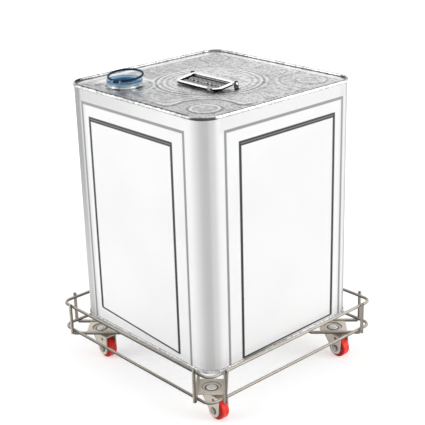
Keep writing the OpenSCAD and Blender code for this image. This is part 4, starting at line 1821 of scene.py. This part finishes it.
@dataclass
class Trolley:
    """The welded wire trolley without its castors."""

    half: float = 137.0
    bend: float = 11.0
    ring_wire: float = 1.8
    low: float = 40.0
    high: float = 72.5
    post: float = 2.0
    post_at: float = 116.0
    over: float = 4.0
    sink: float = 0.3
    rest_wire: float = 2.0
    rest_half: float = 16.5
    rest_bend: float = 6.0
    rest_high: float = 60.9
    rest_low: float = 36.5
    plate_length: float = 34.0
    step_gap: float = 12.0
    castor_at: float = 104.0
    weld_long: float = 2.6
    weld_deep: float = 0.95
    weld_high: float = 1.5
    # strength of the painted highlight on the right side of the upper and lower rings
    high_bright: float = 0.8
    low_bright: float = 0.5

    @property
    def post_line(self) -> float:
        """Distance of the uprights' middles from the middle of the trolley."""
        return self.half + self.ring_wire + self.post - self.sink

    def ring(self, height: float, right_bright: float) -> Shell:
        """One ring of wire: a circle carried round the rounded square, with painted shade below and a
        painted highlight above.

        How much painted shade and highlight it has, and where the shade starts, are sums over the front,
        the right side, the bend between them and the rest, each weighted by its share of the path.

        Args:
            height: Height of its middle.
            right_bright: How strong the painted highlight is on top of its right side.

        Returns:
            A closed shell.
        """
        flat, normal = rounded_square(self.half, self.bend, 14, 10)
        x, y = flat.T
        front, right = np.clip([-normal[:, 1], normal[:, 0]], 0.0, 1.0) ** 8
        near_bend = soft_step(x - y, 1.3 * self.half, 1.6 * self.half) * (1.0 - front - right)
        behind = 1.0 - front - right - near_bend
        shares = np.stack([front, right, near_bend, behind])
        dark = np.array([0.95, 1.2 - right_bright, 0.7, 0.8]) @ shares
        bright = np.array([0.8, right_bright, 0.9, 0.4]) @ shares
        start = np.array([-0.78, -0.4, -0.5, -0.5]) @ shares - 0.2 * soft_step(x, -20.0, 90.0) * front
        start = start[:, None]
        tone = Tone((0.0, 0.0, -1.0), start, start + 0.3, dark=0.97, bright=1.0)
        return Shell().tube(raised(flat, height), self.ring_wire, UP, 20, tone, dark, bright, closed=True)

    def post_places(self) -> Array:
        """The uprights' middles, (8, 2)."""
        ends = [(s * self.post_at, t * self.post_line) for t in (-1, 1) for s in (-1, 1)]
        return np.array(ends + [(y, x) for x, y in ends])

    def posts(self) -> Shell:
        """The uprights: short wires whose cut ends are slightly rounded.

        Over the last 0.4 mm the radius falls as the square of the way to the end. Each wire has painted
        shade on one side, a painted highlight on the other, and painted shade at its tips.

        Returns:
            A closed shell.
        """
        shell = Shell()
        low, high = self.low - self.over, self.high + self.over
        tip = np.array([0.0, 0.12, 0.4, 1.5])
        height = np.concatenate([low + tip, np.linspace(low + 3.0, high - 3.0, 12), high - tip[::-1]])
        near_end = np.minimum(height - low, high - height)
        size = self.post - 0.45 * (1.0 - np.clip(near_end / 0.4, 0.0, 1.0)) ** 2
        tips = soft_step(near_end, 4.0, 1.0)
        for x, y in self.post_places():
            way = (0.55, 0.83, 0.0) if x > y else (-0.8, -0.6, 0.0)
            near = float(x > 0.0 > y)
            tone = Tone(way, -0.3 - 0.4 * near, 0.5 - 0.3 * near, dark=1.0, bright=1.0)
            dark = 0.55 + 0.1 * near + 0.4 * tips
            bright = (0.5 - 0.4 * near) * (1.0 - tips)
            shell.tube(xyz(x, y, height), size, np.array([1.0, 0.0, 0.0]), 20, tone, dark, bright)
        return shell

    def rest_path(self, dips: bool) -> Array:
        """Corner points of a rest wire as distance along the diagonal and height.

        Args:
            dips: Whether it passes under the other pair in the middle.

        Returns:
            The points, (n, 2).
        """
        end = self.half * math.sqrt(2.0) - self.rest_half + self.rest_wire
        foot = self.castor_at * math.sqrt(2.0) - self.plate_length / 2.0 - self.step_gap
        head = foot - (self.rest_high - self.rest_low)
        half = [(end, self.rest_low), (foot, self.rest_low), (head, self.rest_high)]
        if dips:
            drop = 2.0 * self.rest_wire - self.sink
            over = self.rest_half + self.rest_bend + 2.0 * self.rest_wire
            half += [(over, self.rest_high), (over - drop, self.rest_high - drop)]
        return np.array([(-s, z) for s, z in half] + half[::-1])

    def rest_pair(self, turn: float, dips: bool) -> Shell:
        """A pair of rest wires on one diagonal: circles carried along the bent paths.

        Args:
            turn: The diagonal's direction in degrees.
            dips: Whether the pair passes under the other pair.

        Returns:
            A closed shell.
        """
        shell = Shell()
        way = np.array([math.cos(math.radians(turn)), math.sin(math.radians(turn)), 0.0])
        side = np.array([-way[1], way[0], 0.0])
        flat = self.rest_path(dips)
        corners = flat[:, :1] * way + flat[:, 1:] * UP
        # painted shade underneath the rest wires and a painted highlight on top
        tone = Tone((0.35, 0.0, -1.0), start=-0.3, end=0.3, dark=0.95, bright=0.75)
        for sign in (-1.0, 1.0):
            path = bent_path(corners + side * sign * self.rest_half, self.rest_bend)
            shell.tube(path, self.rest_wire, side, 18, tone)
        return shell

    def weld(self, place: Triple, size: Triple, seed: int) -> Shell:
        """A weld bead: a flattened lump whose radius ripples along its length.

        A point at longitude a and latitude b lies at size * (cos b cos a, cos b sin a, sin b),
        where the first two are taken times 1 + 0.08 sin(3a + seed) cos b.

        Args:
            place: Its middle.
            size: Its half sizes.
            seed: Shifts the ripple.

        Returns:
            A closed shell.
        """
        around = full_turn(14)
        up = np.linspace(-np.pi / 2.0 + 0.01, np.pi / 2.0 - 0.01, 9)[:, None]
        ripple = 1.0 + 0.08 * np.sin(3.0 * around + seed) * np.cos(up)
        lump = raised(spokes(around) * (np.cos(up) * ripple)[..., None], np.sin(up))
        return Shell().loft(lump * np.array(size) + np.array(place))

    def welds(self) -> Shell:
        """Weld beads where the uprights meet the rings, long along the ring's wire.

        Returns:
            A closed shell.
        """
        shell = Shell()
        touch = self.half + self.ring_wire - 0.1
        for number, (x, y) in enumerate(self.post_places()):
            for height in (self.low, self.high):
                if abs(y) > abs(x):
                    place = (x, math.copysign(touch, y), height)
                    size = (self.weld_long, self.weld_deep, self.weld_high)
                else:
                    place = (math.copysign(touch, x), y, height)
                    size = (self.weld_deep, self.weld_long, self.weld_high)
                shell.join(self.weld(place, size, number))
        return shell

    def build(self, crew: Assembler) -> None:
        """Makes the trolley's pieces.

        Args:
            crew: Puts each piece in its place.
        """
        body, slot = Body.TROLLEY.value, Slot.TROLLEY_WIRE
        crew.add(self.ring(self.high, self.high_bright).build("upper_wire_ring"), body, slot, "upper_ring")
        crew.add(self.ring(self.low, self.low_bright).build("lower_wire_ring"), body, slot, "lower_ring")
        crew.add(self.posts().build("upright_wires"), body, slot, "uprights")
        crew.add(self.rest_pair(-45.0, False).build("upper_rest_pair"), body, slot, "rest_wires_upper")
        crew.add(self.rest_pair(45.0, True).build("lower_rest_pair"), body, slot, "rest_wires_lower")
        crew.add(self.welds().build("weld_beads"), body, slot)


@dataclass
class Castor:
    """One swivel castor. Its wheel trails towards +X."""

    corner: Corner
    offset: float = Trolley.castor_at
    trail: float = 11.0
    axle: float = 12.5
    plate_length: float = Trolley.plate_length
    plate_half: float = 14.8
    plate_soft: float = 1.2
    plate_top: float = 36.6
    plate: float = 1.5
    # marks: painted shade above 0 and painted highlight below 0, with a painted shadow round the rivet
    plate_rings: tuple[Triple, ...] = (  # the radius, height and mark of each
        *((2.6, -1.6, 0.5), (5.0, -1.6, 0.9), (7.0, -1.6, 0.95), (8.6, -1.6, 0.05)),
        *((9.4, -1.5, 0.0), (10.0, -1.2, 0.25), (10.6, -0.7, 0.6), (11.2, -0.2, 0.6)),
        *((11.8, 0.05, 0.2), (12.5, 0.12, -0.3), (13.2, 0.06, -0.35), (13.8, 0.0, 0.1)),
    )
    drop: float = 1.6
    kingpin: float = 2.5
    rivet: float = 6.2
    rivet_height: float = 1.8
    fork_top: float = 31.0
    fork: float = 1.5
    fork_bend: float = 2.0
    crown: float = 12.5
    leg_inside: float = 6.6
    leg_end: float = 8.0
    bolt: float = 2.0
    bolt_head: float = 1.6
    bolt_past: float = 2.6
    nut: float = 2.0
    head: float = 3.6
    head_soft: float = 0.25
    wheel: float = 12.5
    wheel_half: float = 6.0
    hub: float = 7.5
    tread: float = 2.45

    @property
    def place(self) -> Vector:
        """The point on the floor under the kingpin."""
        x_sign, y_sign = self.corner.value
        return Vector((x_sign * self.offset, y_sign * self.offset, 0.0))

    @property
    def fork_side(self) -> float:
        """Distance of the fork's outer faces from its middle."""
        return self.leg_inside + self.fork

    def plate_shell(self) -> Shell:
        """The plate: a rectangle with a pressed dish and a low ring round it.

        Rays leave the kingpin's hole. Their inner points lie on circles, each with its radius, height and
        mark, which is painted shade above 0 and painted highlight below 0, with a painted shadow round the
        rivet. Their outer points slide to where the ray leaves the rectangle. The lower face is the same,
        one thickness down.

        Returns:
            A closed shell.
        """
        way = spokes(full_turn(96))
        half = np.array([self.plate_length / 2.0, self.plate_half]) - self.plate_soft
        reach = np.min(half / np.maximum(np.abs(way), 1e-6), axis=1) + self.plate_soft
        inner, height, mark = np.array(self.plate_rings).T
        circles = way[:, None, :] * inner[:, None]
        outer = way[:, None, :] * reach[:, None, None] * np.array([0.99, 1.0])[:, None]
        flat = np.concatenate([circles, outer], axis=1)
        upper = np.concatenate([height, [0.0, -0.2]])
        lower = np.concatenate([height, [0.0, 0.2]]) - self.plate
        rise = np.concatenate([upper, lower[::-1]]) + self.plate_top
        # painted shade along the plate's edge
        mark = np.concatenate([mark, [0.0, 0.45, 0.45, 0.0], mark[::-1]])
        shell = Shell().hoop(raised(np.concatenate([flat, flat[:, ::-1]], axis=1), rise), mark)
        turn = Matrix.Rotation(math.atan2(self.place.y, self.place.x), 4, "Z")
        return shell.turned(Matrix.Translation(self.place) @ turn)

    def kingpin_shell(self) -> Shell:
        """The kingpin: a spool with a domed head above and a set head below.

        Its profile is turned about its axis, and the dome is a quarter of an ellipse.

        Returns:
            A closed shell.
        """
        wide = self.rivet
        top = self.plate_top - self.drop
        low = self.fork_top - self.fork - 0.1
        base = low - self.rivet_height
        radius = np.linspace(wide, 0.0, 12)
        dome = np.sqrt(np.maximum(1.0 - (radius / wide) ** 2, 0.0))
        head = np.stack([radius, top + 0.35 + (self.rivet_height - 0.35) * dome], -1)
        foot = [[0.0, base], [wide - 2.2, base], [wide - 1.2, low - 0.6], [wide - 1.0, low]]
        shaft = [[self.kingpin, low], [self.kingpin, top], [wide - 0.1, top], [wide, top + 0.15]]
        # painted highlight all over the kingpin
        return Shell().lathe(np.concatenate([head, foot, shaft]), tuple(self.place), 48, -0.8)

    def fork_shell(self) -> Shell:
        """The fork: one pressed sheet that goes up one leg, over the crown and down the other.

        A first number runs along that way and a second across it, from the sheet's back edge to
        its front edge. On the crown the edges are the disc and a straight front; on a leg they
        are two straight lines that touch the round end at the axle. Bends join them.

        Returns:
            An open sheet, thickened when it is built.
        """
        outside, bend, top, end = self.fork_side, self.fork_bend, self.fork_top, self.leg_end
        foot = np.linspace(self.axle - end, self.axle, 16)
        down = np.concatenate([foot, np.linspace(self.axle, top - bend, 24)[1:]])
        curve = arc((outside - bend, top - bend), bend, 0.0, 90.0, 7)[1:]
        over = np.linspace(outside - bend, 0.0, 8)[1:]
        y = np.concatenate([np.full(down.size, outside), curve[:, 0], over])
        z = np.concatenate([down, curve[:, 1], np.full(over.size, top)])
        y = np.concatenate([y, -y[-2::-1]])
        z = np.concatenate([z, z[-2::-1]])
        share = np.clip((z - self.axle) / (top - self.fork - self.axle), 0.0, 1.0)
        drop = np.clip(self.axle - z, 0.0, end)
        round_end = np.sqrt(np.maximum(end**2 - drop**2, 0.02))
        back_top = 0.5 - math.sqrt(self.crown**2 - outside**2)
        back = blend(self.trail - end, back_top, share)
        back = np.where(z < self.axle, self.trail - round_end, back)
        front = np.where(z < self.axle, self.trail + round_end, self.trail + end)
        disc = -np.sqrt(self.crown**2 - np.minimum(np.abs(y), outside) ** 2)
        back = blend(back, disc, soft_step(outside - np.abs(y), 0.0, bend))
        t = np.linspace(0.0, 1.0, 25)
        points = xyz(blend(back[:, None], front[:, None], t), y[:, None], z[:, None])
        # painted shade: a spot below the crown, a ring round the nut and the back edge; the whole sheet is
        # a little darker
        beyond = points[..., 0] - self.trail
        spot = np.hypot(beyond, points[..., 2] - self.fork_top + 4.8)
        round_nut = np.hypot(beyond, points[..., 2] - self.axle)
        mark = 0.9 * soft_step(spot, 2.4, 1.3) + 0.7 * ridge(round_nut - self.head - 0.5, 1.8)
        mark = np.clip(0.36 + mark + 0.4 * ridge(t, 0.2), 0.0, 0.95)
        return Shell().grid(points + np.array(self.place), mark)

    def hexagon(self, low: float, high: float) -> Shell:
        """A six-sided nut or head along Y, with its corners turned off at both faces.

        A level's radius is the hexagon's, held to a circle that shrinks at the faces.

        Args:
            low: Where it starts along Y, from the kingpin.
            high: Where it ends.

        Returns:
            A closed shell.
        """
        angle = full_turn(48)
        flat = self.head * math.cos(math.pi / 6.0)
        edge = flat / np.cos((angle + math.pi / 6.0) % (math.pi / 3.0) - math.pi / 6.0)
        level = np.array([0.0, self.head_soft, 1.0 - self.head_soft, 1.0])[:, None]
        limit = np.array([flat * 0.96, self.head, self.head, flat * 0.96])[:, None]
        size = np.minimum(edge, limit)
        y = low + (high - low) * level
        points = xyz(self.trail + size * np.cos(angle), y, self.axle + size * np.sin(angle))
        return Shell().loft(points + np.array(self.place))

    def turned_part(self, profile: Array, segments: int, mark: Numbers = 0.0) -> Shell:
        """A part turned about the axle, with its profile's heights along Y.

        Args:
            profile: The profile as a loop of radii and heights, (n, 2).
            segments: Steps around.
            mark: How dark it is.

        Returns:
            A closed shell.
        """
        shell = Shell().lathe(profile, (0.0, 0.0, 0.0), segments, mark)
        axle = Matrix.Translation(self.place + Vector((self.trail, 0.0, self.axle)))
        return shell.turned(axle @ Matrix.Rotation(math.pi / 2.0, 4, "X"))

    def tyre_shell(self) -> Shell:
        """The tyre: a ring with rounded shoulders and a fine mould line round its tread.

        Returns:
            A closed shell, with painted shade at its shoulders and a painted highlight on its tread.
        """
        r, w, t = self.wheel, self.wheel_half, self.tread
        lip = np.array([[self.hub + 1.5, w], [self.hub + 1.2, w - 0.5], [self.hub, w - 0.5]])
        profile = np.concatenate(
            [
                arc((r - t, -(w - t)), t, -90.0, 0.0, 10),
                [[r, -0.35], [r - 0.12, -0.12], [r - 0.12, 0.12], [r, 0.35]],
                arc((r - t, w - t), t, 0.0, 90.0, 10),
                lip,
                lip[::-1] * np.array([1.0, -1.0]),
            ]
        )
        side = np.abs(profile[:, 1]) / w
        # painted shade at the shoulders and a painted highlight on the tread
        mark = 0.75 * soft_step(side, 0.72, 0.95) - 0.18 * ridge(side - 0.25, 0.7)
        return self.turned_part(profile, 80, mark)

    def hub_shell(self) -> Shell:
        """The hub: a bored disc with a boss and a hollow on each face.

        Returns:
            A closed shell.
        """
        w, bore = self.wheel_half, self.bolt + 0.05
        rim = [[self.hub, w - 0.1], [self.hub - 0.5, w], [self.hub - 1.0, w], [self.hub - 1.6, w - 1.0]]
        boss = [[self.bolt + 2.0, w - 1.0], [self.bolt + 1.4, w + 0.15], [self.bolt + 1.1, w + 0.3]]
        face = np.array([*rim, *boss, [bore, w + 0.3]])
        return self.turned_part(np.concatenate([face, face[::-1] * np.array([1.0, -1.0])]), 56)

    def bolt_shell(self) -> Shell:
        """The axle bolt: a shaft that ends past the nut, and a six-sided head.

        Returns:
            A closed shell.
        """
        side, tip = self.fork_side, -(self.fork_side + self.bolt_past)
        shaft = [[0.0, tip], [self.bolt - 0.3, tip], [self.bolt, tip + 0.3], [self.bolt, side], [0.0, side]]
        return self.turned_part(np.array(shaft), 24).join(self.hexagon(side, side + self.bolt_head))

    def nut_shell(self) -> Shell:
        """The nut: six-sided, against the fork's outer face."""
        return self.hexagon(-(self.fork_side + self.nut), -self.fork_side)

    def build(self, crew: Assembler, frame: dict) -> None:
        """Makes the castor's pieces.

        Args:
            crew: Puts each piece in its place.
            frame: The loaded frame, for the solids that are shown as they are.
        """
        name = self.corner.label
        trolley, castor, wheel = Body.TROLLEY.value, f"castor_{name}", f"wheel_{name}"
        steel, bolts = Slot.CASTOR_STEEL, Slot.BOLT_STEEL
        crew.add(self.plate_shell().build(f"pressed_plate_{name}"), trolley, steel, f"plate_{name}")
        crew.add(self.kingpin_shell().build(f"rivet_{name}"), trolley, steel, f"kingpin_{name}")
        crew.keep(frame, f"balls_{name}", Slot.BALL_STEEL)
        fork = self.fork_shell().build(f"pressed_fork_{name}", solid=self.fork)
        crew.add(fork, castor, steel, f"fork_{name}")
        crew.add(self.bolt_shell().build(f"axle_bolt_{name}"), castor, bolts, f"bolt_{name}")
        crew.add(self.nut_shell().build(f"axle_nut_{name}"), castor, bolts, f"nut_{name}")
        crew.add(self.hub_shell().build(f"moulded_hub_{name}"), wheel, Slot.HUB_PLASTIC, f"hub_{name}")
        crew.add(self.tyre_shell().build(f"moulded_tyre_{name}"), wheel, Slot.RED_TYRE, f"tyre_{name}")


# ------------------------ the room


@dataclass
class Lamp:
    """A soft square lamp that looks at the tin's middle, in metres and watts."""

    name: str
    place: Triple
    size: float
    power: float
    aim: Triple = (0.0, 0.0, 0.2)

    def build(self) -> None:
        """Puts the lamp in the scene."""
        data = bpy.data.lights.new(self.name, "AREA")
        data.shape = "SQUARE"
        data.size = self.size
        data.energy = self.power
        lamp = bpy.data.objects.new(self.name, data)
        turn = (Vector(self.place) - Vector(self.aim)).to_track_quat("Z", "Y")
        lamp.matrix_world = Matrix.Translation(self.place) @ turn.to_matrix().to_4x4()
        bpy.context.scene.collection.objects.link(lamp)


@dataclass
class Studio:
    """Floor, light and camera. Angles are in degrees, and the camera's place is in metres."""

    azimuth: float = 48.02
    elevation: float = 21.18
    roll: float = -1.6
    lens: float = 88.94
    sensor: float = 36.0
    clip: Pair = (0.01, 50.0)
    place: Triple = (0.88466, -0.79761, 0.65341)
    ambient: float = 0.4
    lamps: tuple[Lamp, ...] = (
        Lamp("left_lamp", (-0.75, -1.25, 0.45), 1.1, 14.0),
        Lamp("right_lamp", (1.25, 0.75, 0.45), 1.1, 14.0),
        Lamp("top_lamp", (0.1, 0.1, 1.7), 1.2, 3.0),
    )
    floor_half: float = 4000.0
    fade: Pair = (250.0, 900.0)

    def camera(self) -> None:
        """Puts the camera on its ray, turned by azimuth, elevation and roll."""
        az, el, roll = (math.radians(a) for a in (self.azimuth, self.elevation, self.roll))
        back = Vector((math.sin(az) * math.cos(el), -math.cos(az) * math.cos(el), math.sin(el)))
        right = Vector((math.cos(az), math.sin(az), 0.0))
        up = back.cross(right)
        turned_right = right * math.cos(roll) + up * math.sin(roll)
        turned_up = up * math.cos(roll) - right * math.sin(roll)
        data = bpy.data.cameras.new("camera")
        data.lens = self.lens
        data.sensor_width = self.sensor
        data.clip_start, data.clip_end = self.clip
        camera = bpy.data.objects.new("camera", data)
        matrix = Matrix((turned_right, turned_up, back)).transposed().to_4x4()
        matrix.translation = Vector(self.place)
        camera.matrix_world = matrix
        bpy.context.scene.collection.objects.link(camera)
        bpy.context.scene.camera = camera

    def world(self) -> None:
        """White to the camera, in gloss and through clear pieces; an even grey as light."""
        world = bpy.data.worlds.new("studio")
        graph = Graph(world)
        inputs = {"Value": graph.white_rays(), "To Min": self.ambient, "To Max": 1.0}
        level = graph.node("ShaderNodeMapRange", inputs=inputs)
        shine = graph.node("ShaderNodeBackground", inputs={"Color": grey(1.0), "Strength": level})
        graph.show(shine, "ShaderNodeOutputWorld")
        bpy.context.scene.world = world

    def floor(self) -> None:
        """A wide pale floor that fades to white for the camera and keeps the shadow."""
        line = np.linspace(-self.floor_half, self.floor_half, 9)
        piece = Shell().grid(xyz(line[:, None], line, 0.0)).build("floor")
        if piece.data.polygons[0].normal.z < 0.0:
            piece.data.flip_normals()
        material = bpy.data.materials.new("floor_finish")
        graph = Graph(material)
        point = graph.place()
        shade = graph.cover(grey(0.8), (graph.noise(point, scale=3.0), grey(0.82)))
        diffuse = graph.node("ShaderNodeBsdfDiffuse", inputs={"Color": shade})
        x, y, _ = graph.axes(point)
        level = graph.cover(grey(0.5), (((x * x + y * y) ** 0.5).ramp(*self.fade), grey(1.0)))
        glow = graph.node("ShaderNodeEmission", inputs={"Color": level, "Strength": 1.0})
        dark = graph.node("ShaderNodeEmission", inputs={"Color": grey(0.0), "Strength": 0.0})
        lift = graph.node("ShaderNodeMixShader", inputs={0: graph.white_rays(), 1: dark, 2: glow})
        graph.show(graph.node("ShaderNodeAddShader", inputs={0: diffuse, 1: lift}))
        piece.data.materials.append(material)

    def build(self) -> None:
        """Sets up the room."""
        bpy.context.scene.view_settings.view_transform = "Standard"
        self.camera()
        self.world()
        self.floor()
        for lamp in self.lamps:
            lamp.build()


def main() -> None:
    """Builds the room, the tin and its trolley."""
    logging.basicConfig(level=logging.INFO, format="%(message)s")
    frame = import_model()
    Studio().build()
    crew = Assembler(Palette())
    Tin().build(crew)
    LidHandle().build(crew)
    SpoutCap().build(crew)
    crew.keep(frame, "ring_pin", Slot.DARK_BLUE_PLASTIC)
    Trolley().build(crew)
    for corner in Corner:
        Castor(corner).build(crew, frame)
    LOG.info("%d pieces made", crew.made)


if __name__ == "__main__":
    main()
